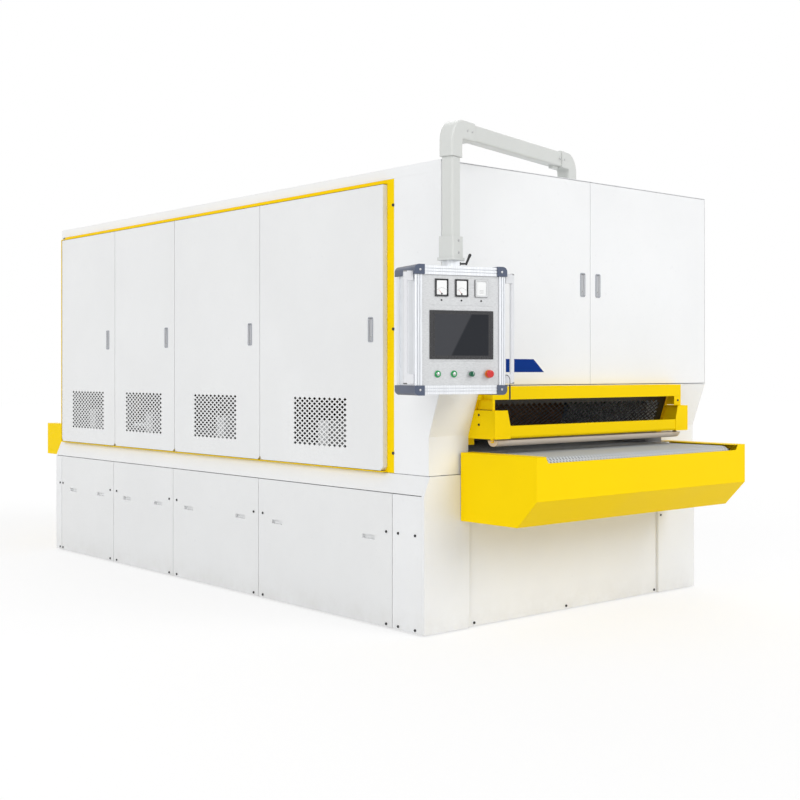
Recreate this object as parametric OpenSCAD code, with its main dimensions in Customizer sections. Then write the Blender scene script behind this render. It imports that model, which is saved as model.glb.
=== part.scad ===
// Combination sanding machine: four head bays over a conveyor table that rises and falls.
// Millimetres, Z up. The feed runs along +Y, the head doors face -X.
// The origin is on the floor, under the centre of the base.

/* [Base] */
// Width of the base across the feed
base_w = 2240; // [2200:1:2400]
// Length of the base along the feed
base_l = 4120; // [4100:1:4400]
// Height of the base casing
base_h = 800; // [790:1:830]
// Gap between the casings and the floor
floor_gap = 8; // [5:1:15]
// Width of the front and rear column on the door side
left_column_w = 315; // [300:1:325]
// Width of the front and rear column on the drive side, below the table
right_column_w = 355; // [345:1:380]
// Folded depth of a corner column
column_d = 20; // [16:1:30]
// Height of the shoulder that slants in to the doors
shoulder_h = 95; // [80:1:110]

/* [Base covers] */
// Folded depth of a base cover
cover_d = 25; // [18:1:35]
// Distance of the front corner strip from the front of the base
strip_w = 225; // [200:1:260]
// Width of the rear corner strip
rear_strip_w = 70; // [60:1:90]
// Width of a pull slot
pull_w = 100; // [80:1:120]
// Height of a pull slot
pull_h = 22; // [18:1:28]
// Height of the pull slots above the floor
pull_z = 462; // [430:1:480]
// Distance of a pull slot from the edge of its cover
pull_inset = 190; // [170:1:200]

/* [Head bays] */
// Length of the first bay, at the infeed
bay_1_w = 1127; // [1100:1:1150]
// Length of the second bay
bay_2_w = 970; // [950:1:990]
// Length of the third bay
bay_3_w = 801; // [795:1:820]
// Length of the fourth bay
bay_4_w = 818; // [800:1:840]
// Distance from the front of the base to the first door
first_bay_y = 330; // [320:1:350]

/* [Upper cabinet] */
// Height of the roof
roof_h = 2385; // [2370:1:2450]
// Step of the door side in from the base
left_inset = 40; // [36:1:60]
// Overhang of the front doors past the base
front_overhang = 80; // [70:1:100]
// Setback of the lower cheek behind the base front
cheek_setback = 10; // [5:1:15]
// Setback of the rear wall from the base rear
rear_setback = 10; // [5:1:20]
// Height of the bottom edge of the front doors
front_door_z = 1257; // [1250:1:1280]
// Height at which the cheeks turn from vertical to slanting
knee_z = 1000; // [980:1:1010]
// Depth of the roof pan
roof_d = 55; // [50:1:60]
// Sheet thickness
sheet_t = 3; // [2:0.5:4]
// Gap along the seams between covers
seam = 4; // [3:0.5:5]

/* [Side doors] */
// Folded depth of a side door
door_d = 29; // [26:1:32]
// Depth of the yellow lips round the doors
lip_d = 31; // [30:1:34]
// Thickness of the yellow door frame
frame_t = 5; // [4:0.5:6]
// Overlap of a door on its frame opening
door_lap = 45; // [40:1:55]
// Cut across the lower corners of a door
corner_cut = 20; // [15:1:25]
// Height of a latch
latch_h = 126; // [110:1:140]
// Width of a latch
latch_w = 34; // [30:1:38]
// Height of the side latches above the floor
side_latch_z = 1550; // [1500:1:1600]
// Distance of a side latch from the front edge of its door
latch_inset = 100; // [80:1:120]
// Radius of a door pin
door_pin_r = 3; // [2.5:0.1:3.5]
// Running clearance round pins and axles
fit = 0.05; // [0.03:0.01:0.08]

/* [Door grilles] */
// Width of a perforated field
grille_w = 500; // [460:1:500]
// Height of a perforated field
grille_h = 280; // [260:1:300]
// Height of the lowest holes above the bottom of their door
grille_rise = 104; // [90:1:115]
// Distance of the field from the rear edge of the first door
grille_gap_1 = 322; // [300:1:340]
// Distance of the field from the rear edge of the second door
grille_gap_2 = 223; // [200:1:240]
// Distance of the field from the rear edge of the third door
grille_gap_3 = 139; // [130:1:160]
// Distance of the field from the rear edge of the fourth door
grille_gap_4 = 156; // [140:1:160]
// Spacing of the holes along a row
hole_pitch_y = 45.4; // [42:0.1:50]
// Spacing of the rows of one column
hole_pitch_z = 28; // [26:0.1:30]
// Width of a diamond hole
hole_w = 31; // [26:0.5:34]
// Height of a diamond hole
hole_h = 19; // [16:0.5:21]

/* [Conveyor table] */
// Working height of the belt
feed_h = 905; // [880:1:912]
// Room beside the conveyor belt inside the base
belt_side_room = 345; // [342:1:365]
// Thickness of the conveyor belt
belt_t = 8; // [6:0.5:10]
// Radius of the nose and drive rollers
roller_r = 55; // [50:1:60]
// Radius of the roller axles
axle_r = 15; // [12:1:18]
// Distance from the base front to the front of the infeed apron
infeed_l = 530; // [510:1:600]
// Distance from the base rear to the end of the outfeed apron
outfeed_l = 700; // [600:1:760]
// Half width of the aprons
apron_hw = 870; // [860:1:900]
// Height of the top of the aprons
apron_z = 915; // [908:1:925]
// Height of the lower edge of the apron's front face
apron_face_z = 700; // [680:1:720]
// Height of the underside of the infeed apron
apron_low_z = 564; // [550:1:600]
// Run of the slanted underside
apron_slant = 130; // [100:1:160]
// Thickness of the apron sheet
apron_t = 4; // [3:0.5:5]
// Height of the floor of the belt notch in the infeed apron
notch_z = 884; // [870:1:890]

/* [Infeed hood] */
// Distance of the hood band in front of the front doors
hood_proud = 67.5; // [60:0.5:75]
// Height of the lower edge of the hood band
hood_band_z = 1185; // [1170:1:1195]
// Height of the lower edge of the hood cheeks
hood_low_z = 950; // [945:1:965]
// Distance of the guard face in front of the base
guard_depth = 180; // [160:1:200]
// Height of the underside of the guard
guard_low_z = 985; // [980:1:1000]
// Height of the guard rail
guard_rail_h = 65; // [60:1:80]
// Height of the guard stiles above the underside
guard_h = 146; // [130:1:160]
// Width of the guard stiles
stile_w = 42; // [36:1:60]

/* [Sanding heads] */
// Radius of the first contact drum
drum_1_r = 150; // [130:1:160]
// Radius of the second contact drum
drum_2_r = 120; // [100:1:140]
// Radius of the third contact drum
drum_3_r = 105; // [90:1:120]
// Radius of the brush roller
brush_r = 140; // [120:1:150]
// Radius of the tension rollers
tension_r = 60; // [50:1:70]
// Shortfall of the drums from the width of the conveyor belt
drum_short = 30; // [20:1:40]
// Distance of the tension roller axes below the roof
tension_drop = 375; // [355:1:400]
// Distance from the belt to the drums at rest
work_gap = 40; // [35:1:50]

/* [Support arm and panel] */
// Distance of the arm pivot from the centre plane
pivot_x = 2; // [-60:1:20]
// Distance of the arm pivot behind the base front
pivot_back = 50; // [40:1:80]
// Length of the arm from the pivot to the drop tube
arm_l = 1211; // [1200:1:1230]
// Turn of the arm from the machine's width
arm_yaw = 14.33; // [13:0.01:18]
// Height of the centre of the arm tube above the roof
arm_rise = 115; // [105:1:145]
// Height of the arm tube section
tube_h = 82; // [76:1:88]
// Width of the arm tube section
tube_w = 66; // [60:1:72]
// Width of the control panel
panel_w = 480; // [470:1:500]
// Height of the control panel
panel_h = 605; // [580:1:620]
// Depth of the control panel
panel_d = 222; // [200:1:240]
// Distance of the underside of the control panel below the arm tube
panel_drop = 1278; // [1270:1:1290]
// Turn of the control panel from the machine's front
panel_yaw = 17; // [12:0.5:20]

/* [Hidden] */
$fn = 64;

// Colours
white = "#eeeeee";
side_grey = "#e4e5e4";
yellow = "#fcd900";
grey = "#b8bcc0";
dark = "#3a3d40";
steel = "#9aa0a5";
cream = "#ddd0c4";
arm_white = "#e6e8e2";
panel_blue = "#5f6b7a";

// Overrun of a cut past the face that it cuts
over = 10;
// Clearance between pieces that pass each other
gap = 0.3;

// Planes of the base
left_x = -base_w / 2;
right_x = base_w / 2;
front_y = -base_l / 2;
rear_y = base_l / 2;
shoulder_z = base_h - shoulder_h;
inner_left_x = left_x + left_column_w;
inner_right_x = -inner_left_x;
panel_right_x = right_x - right_column_w;

// Heights that follow the roof, and widths that follow the base
arm_z = roof_h + arm_rise;
panel_z = arm_z - panel_drop;
tension_z = roof_h - tension_drop;
belt_w = base_w - 2 * belt_side_room;
drum_l = belt_w - drum_short;

// Planes of the upper cabinet
cab_left_x = left_x + left_inset;
cab_right_x = right_x;
cab_front_y = front_y - front_overhang;
cab_rear_y = rear_y - rear_setback;
cheek_y = front_y + cheek_setback;
fascia_z = roof_h - roof_d;
cab_z = base_h + sheet_t;

// Bay lines along the feed
bay_0_y = front_y + first_bay_y;
bay_a_y = bay_0_y + bay_1_w;
bay_b_y = bay_a_y + bay_2_w;
bay_c_y = bay_b_y + bay_3_w;
bay_end_y = bay_c_y + bay_4_w;
bay_lines = [bay_0_y, bay_a_y, bay_b_y, bay_c_y, bay_end_y];
head_y = [for (i = [0:3]) (bay_lines[i] + bay_lines[i + 1]) / 2];
grille_gaps = [grille_gap_1, grille_gap_2, grille_gap_3, grille_gap_4];

// Base frame sections
foot_t = 15;
foot_w = 210;
foot_l = 200;
anchor_r = 9;
anchor_in = 230;
anchor_end = 170;
anchor_x = right_x - anchor_in;
anchor_y = rear_y - anchor_end;
beam_w = 120;
beam_h = 110;
beam_in = 120;
beam_x = right_x - beam_in;
cross_h = 100;
post_w = 100;
post_end_y = front_y + 110;
rail_h = 95;
frame_top_z = base_h - 5;
beam_top_z = foot_t + beam_h;

// Lift screws and their jacks
screw_r = 20;
screw_in = 260;
screw_x = right_x - screw_in;
screw_low_z = 150;
screw_cut_r = 26;
jack_w = 150;
jack_h = 190;
jack_motor_r = 55;
jack_motor_l = 170;
jack_motor_z = 95;

// Bolts
bolt_r = 7;
bolt_head = 4;
bolt_inset = 47;
bolt_low_z = 25;
bolt_high_z = 502;
post_bolt_r = 8;

// Table sections
table_clear = 14;
side_margin = 28;
side_drop = 15;
bracket_reach = 45;
bed_side_x = belt_w / 2 + 5;
side_plate_t = 20;
table_cross_h = 75;
table_cross_w = 120;
loop_r = roller_r + belt_t;
axis_z = feed_h - loop_r;
nose_gap = 30;
nose_y = front_y - infeed_l + nose_gap + loop_r;
drive_y = rear_y + outfeed_l - nose_gap - loop_r;
bed_clear = 3;
bed_inset = 70;
bed_plate_t = 12;
bed_ribs = 9;
bed_rib_step = (drive_y - nose_y - 2 * bed_inset - bed_plate_t) / (bed_ribs - 1);
bed_rib_y = [for (i = [0:bed_ribs - 1]) nose_y + bed_inset + i * bed_rib_step];
table_wall = 8;
bracket_t = 40;
apron_gap = 3;
apron_rim = 85;
ear_slope = 26;
outfeed_low_z = 672;
outfeed_corner_r = 24;

// Upper frame sections
upright_w = 80;
upright_inset = 5;
upright_x = cab_left_x + frame_t + upright_inset;
upright_right_x = cab_right_x - cover_d - gap - upright_w;
front_beam_y = front_y + upright_w / 2 + column_d;
low_rail_h = 62;
top_rail_h = 80;
top_rail_z = fascia_z - top_rail_h;
girder_low_z = 1262;
girder_h = 280;
bulkhead_t = 4;
bulkhead_y = bay_0_y - 60;
shelf_z = front_door_z - 1;
shelf_t = 4;

// Heads
plate_t = 25;
plate_x = drum_l / 2 + 22;
plate_hw = 62;
plate_end = 34;
beam_hy = 58;
head_beam_z = 1290;
head_beam_h = 210;
drum_axle_r = 28;
roller_axle_r = 18;
belt_sheet_t = 2;
// Facets of each end of a belt loop
arc_steps = 48;
drum_r = [drum_1_r, drum_2_r, drum_3_r];
sand_z = feed_h + work_gap;
abrasive_in = 10;
abrasive_w = drum_l - 2 * abrasive_in;
clamp_w = 90;
clamp_h = 200;
groove_pitch = 38;
groove_d = 5;
groove_w = 9;
motor_r = 112;
motor_l = 400;
motor_z = girder_low_z + girder_h / 2;
motor_off = [300, 275, 262, 262];
guard_t = 62;
guard_x = plate_x + plate_t + 12;
pulley_cover_r = 78;
plate_lift = 20;
brush_z = sand_z + brush_r + belt_sheet_t + gap;

// Roof outlets
outlet_r = 90;
outlet_h = 120;
outlet_flange = 250;
outlet_flange_t = 4;
outlet_x = 120;

// Casing planes
panel_top_z = apron_low_z - seam;
panel_recess = 15;
strip_y = front_y + column_d + strip_w;
rear_strip_y = rear_y - column_d - rear_strip_w;
cover_edges = [strip_y, bay_a_y, bay_b_y, bay_c_y, rear_strip_y];
cup_d = 20;
cover_seat_w = 40;
shoulder_flange = frame_t + upright_inset - gap;

// Cabinet planes
frame_front_y = bay_0_y - 53;
frame_rear_y = bay_end_y + 12;
front_seam_x = 50;
front_door_d = 28;
swing_room = 5;
corner_return = 110;
door_gap = 3;
side_door_x = cab_left_x - 1 - door_d;
lip_low_z = cab_z + 2;
lip_high_z = fascia_z - 24;
side_door_low_z = lip_low_z + frame_t + door_gap;
grille_z = side_door_low_z + grille_rise;
side_door_high_z = lip_high_z - door_gap;
pin_inset = 5;
pin_block = 14;
pin_block_h = 22;
front_door_top_z = roof_h - sheet_t - door_gap;
front_pin_x = 12;
front_pin_y = 8;
front_pin_block = 18;
front_hinge_left_x = cab_left_x + sheet_t + door_gap + front_pin_x;
front_hinge_right_x = cab_right_x - sheet_t - door_gap - front_pin_x;
front_hinge_y = cab_front_y + front_pin_y;
cheek_top_z = shelf_z - shelf_t - gap;
front_latch_z = 1808;
front_latch_off = 64;

// Latch sections
tray_d = 18;
bezel_t = 2;
bezel_rim = 3;
lever_t = 7;
lever_r = 4.5;
lever_pin_r = 2.5;
lever_play = 1;
pivot_in = 6;
pivot_drop = 10;

// Step of the hood band in from the columns
hood_in = 19.5;

// Safety bar and its lugs
bar_r = 20;
bar_rod_r = 6;
bar_pin_r = 4;
bar_back = 58;
bar_pivot_y = front_y - guard_depth + bar_back;
bar_down = 12;
bar_pivot_z = guard_low_z - bar_down;
bar_lug_x = inner_right_x - 45;
lug_r = 9;
bar_leg_drop = 4;
guard_round_r = 16;

// Guard mesh
mesh_t = 3;
mesh_low_z = 972;
mesh_h = 222;
mesh_pitch_x = 42;
mesh_pitch_z = 26;
mesh_hole_w = 36;
mesh_hole_h = 22;
mesh_border = 12;

// Arm sections
pivot_y = front_y + pivot_back;
pedestal_w = 114;
pedestal_t = 14;
pedestal_r = 34;
journal_r = 24;
journal_h = 50;
elbow_lift = 3;
elbow_low_z = roof_h + pedestal_t + elbow_lift;
elbow_wall = 6;
bend_r = 60;
socket_l = 100;
socket_drop = 78;
tube_corner_r = 9;
collar_lift = 36;
collar_z = panel_z + panel_h + collar_lift;
collar_h = 116;
collar_w = 92;
collar_foot_h = 14;
tube_x = pivot_x - arm_l * cos(arm_yaw);
tube_y = pivot_y - arm_l * sin(arm_yaw);

// Panel sections, in the frame of the panel about the drop tube
panel_top = panel_z + panel_h;
face_y = -panel_d / 2;
back_y = panel_d / 2;
profile_w = 36;
corner_w = 48;
corner_h = 42;
corner_proud = 5;
case_r = 8;
notch_w = 4;
notch_d = 4;
side_recess = 5;
fascia_t = 4;
fascia_in = 6;
neck_w = 64;
meter_w = 68;
meter_h = 83;
meter_off = 4;
meter_proud = 6;
meter_depth = 30;
meter_pitch = 105;
meter_up = 503;
meter_z = panel_z + meter_up;
screen_w = 336;
screen_h = 230;
screen_up = 281;
screen_z = panel_z + screen_up;
screen_x = 5;
screen_proud = 4;
screen_depth = 34;
button_up = 96;
button_z = panel_z + button_up;
button_x = [-122, -37, 54, 148];
button_r = 10;
button_bezel_r = 16;
button_bezel_t = 4;
button_proud = 5;
button_l = 22;
selector_r = 13;
selector_grip = 7;
stop_r = 19;
stop_stem_r = 10;
stop_proud = 22;
handle_r = 11;
handle_in = 22;
handle_left_off = 40;
handle_right_off = 45;
handle_low = 50;
handle_drop = 27;
handle_low_z = panel_z + handle_low;
handle_high_z = panel_top - handle_drop;
handle_bracket_h = 45;

// Touch pen on its cord, in the frame of the panel
pen_r = 4;
pen_l = 72;
pen_tip_l = 10;
cord_r = 1.5;
cord_sides = 8;
pen_route = [
  [246, -100, 90], [246.5, -102.5, 90.2], [248, -105, 90], [250, -107, 89], [252, -109, 87.3],
  [254, -110.5, 85], [256, -111.6, 82], [258, -112.2, 78.5], [259.5, -112.5, 75],
  [260.5, -112.6, 71], [261, -112.6, 67], [261.2, -112.6, 62], [261.3, -112.6, 56],
  [261.2, -112.6, 49], [261, -112.6, 40]
];

function meter_x(i) = meter_off + i * meter_pitch;

function drum_z(i) = sand_z + drum_r[i] + belt_sheet_t + gap;

// Box from its low and high faces
module span(x, y, z) {
  translate([x[0], y[0], z[0]])
    cube([x[1] - x[0], y[1] - y[0], z[1] - z[0]]);
}

// Extrusion along X of an outline drawn in Y and Z
module along_x(x0, x1) {
  translate([x0, 0, 0])
    rotate([90, 0, 90])
      linear_extrude(x1 - x0) children();
}

// Extrusion along Y of an outline drawn in X and Z
module along_y(y0, y1) {
  translate([0, y1, 0])
    rotate([90, 0, 0])
      linear_extrude(y1 - y0) children();
}

// Round bar along X
module bar_x(r, x0, x1, y, z) {
  translate([x0, y, z])
    rotate([0, 90, 0]) cylinder(r = r, h = x1 - x0);
}

// Rectangle with round corners, about its centre
module round_rect(w, h, r) {
  square([w - 2 * r, h], center = true);
  square([w, h - 2 * r], center = true);
  for (sx = [-1, 1], sy = [-1, 1])
    translate([sx * (w / 2 - r), sy * (h / 2 - r)]) circle(r);
}

// Outline round two circles, the second one straight above the first
module loop_outline(r0, r1, rise) {
  a = asin((r0 - r1) / rise);
  function low(k) = let (t = 180 - a + (180 + 2 * a) * k / arc_steps) r0 * [cos(t), sin(t)];
  function high(k) = let (t = a + (180 - 2 * a) * k / arc_steps) r1 * [cos(t), sin(t)];
  polygon(concat(
    [for (k = [0:arc_steps]) low(k)], [for (k = [0:arc_steps]) [0, rise] + high(k)]
  ));
}

// Staggered diamond holes over a field, from its lower corner
module diamond_field(w, h, pitch_u, pitch_v, du, dv) {
  columns = floor((w - du) / pitch_u);
  rows = floor((h - dv) / (pitch_v / 2));
  for (row = [0:rows], col = [0:columns - row % 2])
    translate([
      du / 2 + (col + (row % 2) / 2) * pitch_u,
      dv / 2 + row * pitch_v / 2
    ])
      polygon([[-du / 2, 0], [0, -dv / 2], [du / 2, 0], [0, dv / 2]]);
}

// Folded sheet pan with its outer face at x, side +1 or -1 pointing out
module pan_x(x, side, y, z, d) {
  inner = x - side * d;
  difference() {
    span([min(x, inner), max(x, inner)], y, z);
    span(
      side > 0 ? [inner - over, x - sheet_t] : [x + sheet_t, inner + over],
      [y[0] + sheet_t, y[1] - sheet_t],
      [z[0] + sheet_t, z[1] - sheet_t]
    );
  }
}

// Folded sheet pan with its outer face at y, side +1 or -1 pointing out
module pan_y(y, side, x, z, d) {
  inner = y - side * d;
  difference() {
    span(x, [min(y, inner), max(y, inner)], z);
    span(
      [x[0] + sheet_t, x[1] - sheet_t],
      side > 0 ? [inner - over, y - sheet_t] : [y + sheet_t, inner + over],
      [z[0] + sheet_t, z[1] - sheet_t]
    );
  }
}

// Low bolt head on a face that looks along -X
module side_bolt(x, y, z, r) {
  translate([x - bolt_head, y, z])
    rotate([0, 90, 0]) cylinder(r = r, h = bolt_head);
}

// Low bolt head on a face that looks along -Y
module front_bolt(x, y, z, r) {
  translate([x, y, z])
    rotate([90, 0, 0]) cylinder(r = r, h = bolt_head);
}

// Front cheek plane at a height
function cheek_at(z) = z < knee_z ? cheek_y
  : cheek_y + (cab_front_y - cheek_y) * (z - knee_z) / (front_door_z - knee_z);

module base_frame() {
  color(white) difference() {
    union() {
      for (sx = [-1, 1]) {
        span(
          [sx * beam_x - beam_w / 2, sx * beam_x + beam_w / 2],
          [front_y + cover_d, rear_y - cover_d],
          [foot_t, beam_top_z]
        );
        for (y = concat([post_end_y, -post_end_y], [bay_a_y, bay_b_y, bay_c_y]))
          span(
            [sx * beam_x - post_w / 2, sx * beam_x + post_w / 2],
            [y - post_w / 2, y + post_w / 2],
            [beam_top_z - over, frame_top_z]
          );
        span(
          [sx * beam_x - post_w / 2, sx * beam_x + post_w / 2],
          [front_y + cover_d, rear_y - cover_d],
          [frame_top_z - rail_h, frame_top_z]
        );
        for (sy = [-1, 1])
          span(
            [sx * anchor_x - foot_w / 2, sx * anchor_x + foot_w / 2],
            [sy * anchor_y - foot_l / 2, sy * anchor_y + foot_l / 2],
            [0, foot_t]
          );
      }
      for (y = concat([post_end_y, -post_end_y], [bay_a_y, bay_b_y, bay_c_y]))
        span(
          [-beam_x, beam_x],
          [y - post_w / 2, y + post_w / 2],
          [foot_t, foot_t + cross_h]
        );
    }
    for (sx = [-1, 1], sy = [-1, 1])
      translate([sx * anchor_x, sy * anchor_y, -over])
        cylinder(r = anchor_r, h = foot_t + 2 * over);
    for (sx = [-1, 1], y = [bay_a_y, bay_c_y])
      translate([sx * screw_x, y, foot_t - over])
        cylinder(r = screw_cut_r, h = cross_h + 2 * over);
  }
}

// Outline of the column on the door side, with the slant of the shoulder
module left_column_outline(inset) {
  polygon([
    [left_x + inset, floor_gap + inset],
    [inner_left_x - inset, floor_gap + inset],
    [inner_left_x - inset, base_h - inset],
    [cab_left_x + inset / 2, base_h - inset],
    [left_x + inset, shoulder_z - inset / 2]
  ]);
}

// Outline of the column on the drive side
module right_column_outline(inset) {
  polygon([
    [panel_right_x + inset, floor_gap + inset],
    [right_x - inset, floor_gap + inset],
    [right_x - inset, base_h - inset],
    [inner_right_x + inset, base_h - inset],
    [inner_right_x + inset, panel_top_z - inset],
    [panel_right_x + inset, panel_top_z - inset]
  ]);
}

// Columns and middle panel of one end
module base_end() {
  difference() {
    along_y(front_y, front_y + column_d) left_column_outline(0);
    along_y(front_y + sheet_t, front_y + column_d + over) left_column_outline(sheet_t);
  }
  difference() {
    along_y(front_y, front_y + column_d) right_column_outline(0);
    along_y(front_y + sheet_t, front_y + column_d + over) right_column_outline(sheet_t);
  }
  pan_y(
    front_y + panel_recess, -1,
    [inner_left_x + gap, panel_right_x - gap],
    [floor_gap, panel_top_z],
    column_d
  );
}

module base_casings() {
  color(white) {
    base_end();
    mirror([0, 1, 0]) base_end();
    along_y(front_y + column_d + gap, rear_y - column_d - gap)
      polygon([
        [left_x, shoulder_z],
        [cab_left_x, base_h],
        [cab_left_x + shoulder_flange, base_h],
        [cab_left_x + shoulder_flange, base_h - sheet_t],
        [cab_left_x + sheet_t / 2, base_h - sheet_t],
        [left_x + sheet_t, shoulder_z]
      ]);
    pan_x(
      left_x, -1,
      [front_y + column_d + gap, strip_y - seam / 2],
      [floor_gap, shoulder_z - seam], cover_d
    );
    pan_x(
      left_x, -1,
      [rear_strip_y + seam / 2, rear_y - column_d - gap],
      [floor_gap, shoulder_z - seam], cover_d
    );
    pan_x(
      right_x, 1,
      [front_y + column_d + gap, strip_y - seam / 2],
      [floor_gap, base_h], cover_d
    );
    pan_x(
      right_x, 1,
      [rear_strip_y + seam / 2, rear_y - column_d - gap],
      [floor_gap, base_h], cover_d
    );
  }
}

// Base cover with two pull slots that open into folded cups
module base_cover(x, side, y, top_z) {
  pulls = [y[0] + pull_inset, y[1] - pull_inset];
  skin_in = x - side * sheet_t;
  cup_in = x - side * cup_d;
  difference() {
    union() {
      pan_x(x, side, y, [floor_gap, top_z], cover_d);
      for (p = pulls)
        span(
          [min(skin_in, cup_in), max(skin_in, cup_in)],
          [p - pull_w / 2 - sheet_t, p + pull_w / 2 + sheet_t],
          [pull_z - pull_h / 2 - sheet_t, pull_z + pull_h / 2 + sheet_t]
        );
      for (p = pulls)
        span(
          side > 0 ? [beam_x + beam_w / 2 + gap, x - sheet_t / 2]
            : [x + sheet_t / 2, -beam_x - beam_w / 2 - gap],
          [p - cover_seat_w / 2, p + cover_seat_w / 2],
          [beam_top_z - cover_seat_w, beam_top_z]
        );
    }
    for (p = pulls)
      span(
        side > 0 ? [cup_in + sheet_t, x + over] : [x - over, cup_in - sheet_t],
        [p - pull_w / 2, p + pull_w / 2],
        [pull_z - pull_h / 2, pull_z + pull_h / 2]
      );
  }
}

module base_covers() {
  color(side_grey)
    for (i = [0:3]) {
      y = [cover_edges[i] + seam / 2, cover_edges[i + 1] - seam / 2];
      base_cover(left_x, -1, y, shoulder_z - seam);
      base_cover(right_x, 1, y, base_h);
    }
}

module cover_bolts() {
  color(dark) {
    for (edge = cover_edges, sy = [-1, 1], z = [bolt_low_z, bolt_high_z])
      side_bolt(left_x, edge + sy * bolt_inset * (edge == rear_strip_y ? 1 / 2 : 1), z, bolt_r);
    for (z = [bolt_low_z, bolt_high_z])
      side_bolt(left_x, front_y + column_d + bolt_inset, z, bolt_r);
    for (z = [knee_z - 2 * bolt_inset, side_latch_z, fascia_z - 3 * bolt_inset + seam])
      side_bolt(cab_left_x, bay_0_y - bolt_inset, z, post_bolt_r);
    for (x = [inner_left_x + bolt_inset, front_seam_x - 2 * bolt_inset, panel_right_x - bolt_inset / 2])
      front_bolt(x, front_y + panel_recess, bolt_low_z, bolt_r);
  }
}

// Screw jack with its motor, at the origin of its screw
module screw_jack() {
  difference() {
    union() {
      translate([-jack_w / 2, -jack_w / 2, foot_t + cross_h])
        cube([jack_w, jack_w, jack_h]);
      bar_x(jack_motor_r, 0, jack_w / 2 + jack_motor_l, 0, foot_t + cross_h + jack_motor_z);
    }
    translate([0, 0, foot_t])
      cylinder(r = screw_r + fit, h = cross_h + jack_h + over);
  }
}

module screw_jacks() {
  color(steel)
    for (y = [bay_a_y, bay_c_y]) {
      translate([-screw_x, y, 0]) screw_jack();
      mirror([1, 0, 0]) translate([-screw_x, y, 0]) screw_jack();
    }
}

// Corner casing of the upper cabinet, with its slanting cheek
module front_corner(side_x, side, inner_x) {
  side_in = side_x - side * sheet_t;
  inner_in = inner_x + side * sheet_t;
  along_x(min(side_x, side_in), max(side_x, side_in))
    polygon([
      [cheek_y, cab_z], [cheek_y, knee_z],
      [cab_front_y, front_door_z], [cab_front_y, fascia_z],
      [frame_front_y, fascia_z], [frame_front_y, cab_z]
    ]);
  along_x(min(side_in, inner_x), max(side_in, inner_x))
    polygon([
      [cheek_y, cab_z], [cheek_y, knee_z],
      [cheek_at(cheek_top_z), cheek_top_z], [cheek_at(cheek_top_z) + sheet_t, cheek_top_z],
      [cheek_y + sheet_t, knee_z], [cheek_y + sheet_t, cab_z]
    ]);
  along_x(min(inner_x, inner_in), max(inner_x, inner_in))
    polygon([
      [cheek_y, cab_z], [cheek_y, knee_z],
      [cheek_at(cheek_top_z), cheek_top_z],
      [front_beam_y - upright_w / 2 - gap, cheek_top_z],
      [front_beam_y - upright_w / 2 - gap, cheek_top_z - upright_w],
      [cheek_y + corner_return, cheek_top_z - upright_w],
      [cheek_y + corner_return, cab_z]
    ]);
}

module front_corner_left() {
  color(white) front_corner(cab_left_x, -1, inner_left_x);
}

module right_side_wall() {
  color(white) {
    front_corner(cab_right_x, 1, inner_right_x);
    for (i = [0:3])
      pan_x(
        cab_right_x, 1,
        [i == 0 ? frame_front_y + gap : bay_lines[i] + seam / 2,
          i == 3 ? cab_rear_y - column_d - gap : bay_lines[i + 1] - seam / 2],
        [cab_z, fascia_z - gap], cover_d
      );
  }
}

module roof_panel() {
  color(white) difference() {
    union() {
      span([cab_left_x, cab_right_x], [cab_front_y + 1, cab_rear_y], [roof_h - sheet_t, roof_h]);
      for (x = [cab_left_x, cab_right_x - sheet_t])
        span(
          [x, x + sheet_t],
          [cab_front_y + 1, cab_rear_y],
          [fascia_z, roof_h]
        );
      span(
        [cab_left_x, cab_right_x],
        [cab_rear_y - sheet_t, cab_rear_y], [fascia_z, roof_h]
      );
      span(
        [cab_left_x + sheet_t + door_gap, cab_right_x - sheet_t - door_gap],
        [cab_front_y + front_door_d + swing_room, cab_front_y + front_door_d + swing_room + sheet_t],
        [fascia_z, roof_h]
      );
    }
    for (y = head_y)
      translate([outlet_x, y, roof_h - over]) cylinder(r = outlet_r - sheet_t, h = 2 * over);
    for (x = [front_hinge_left_x, front_hinge_right_x])
      translate([x, front_hinge_y, roof_h - over]) cylinder(r = door_pin_r + fit, h = 2 * over);
  }
}

module rear_wall() {
  color(white) {
    pan_y(cab_rear_y, 1, [cab_left_x, inner_left_x], [cab_z, fascia_z - gap], column_d);
    pan_y(
      cab_rear_y, 1,
      [inner_left_x + gap, inner_right_x - gap],
      [front_door_z, fascia_z - gap], column_d
    );
    pan_y(cab_rear_y, 1, [inner_right_x, cab_right_x], [cab_z, fascia_z - gap], column_d);
    span(
      [inner_left_x + gap, inner_right_x - gap],
      [cab_rear_y - sheet_t, cab_rear_y], [guard_low_z, front_door_z - gap]
    );
  }
}

module side_door_frame() {
  color(yellow) difference() {
    union() {
      difference() {
        span(
          [cab_left_x, cab_left_x + frame_t],
          [frame_front_y + gap, frame_rear_y], [cab_z, fascia_z - gap]
        );
        for (i = [0:3])
          span(
            [cab_left_x - over, cab_left_x + frame_t + over],
            [bay_lines[i] + door_lap, bay_lines[i + 1] - door_lap],
            [side_door_low_z + door_lap, side_door_high_z - door_lap]
          );
      }
      for (z = [lip_low_z, lip_high_z])
        span(
          [cab_left_x - lip_d, cab_left_x],
          [bay_0_y, frame_rear_y], [z, z + frame_t]
        );
      span(
        [cab_left_x - lip_d, cab_left_x],
        [frame_rear_y - frame_t, frame_rear_y], [lip_low_z, lip_high_z + frame_t]
      );
    }
    for (i = [0:3], z = [lip_low_z, lip_high_z])
      translate([side_door_x + pin_inset, bay_lines[i + 1] - seam / 2 - pin_inset, z - over])
        cylinder(r = door_pin_r + fit, h = frame_t + 2 * over);
  }
}

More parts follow.
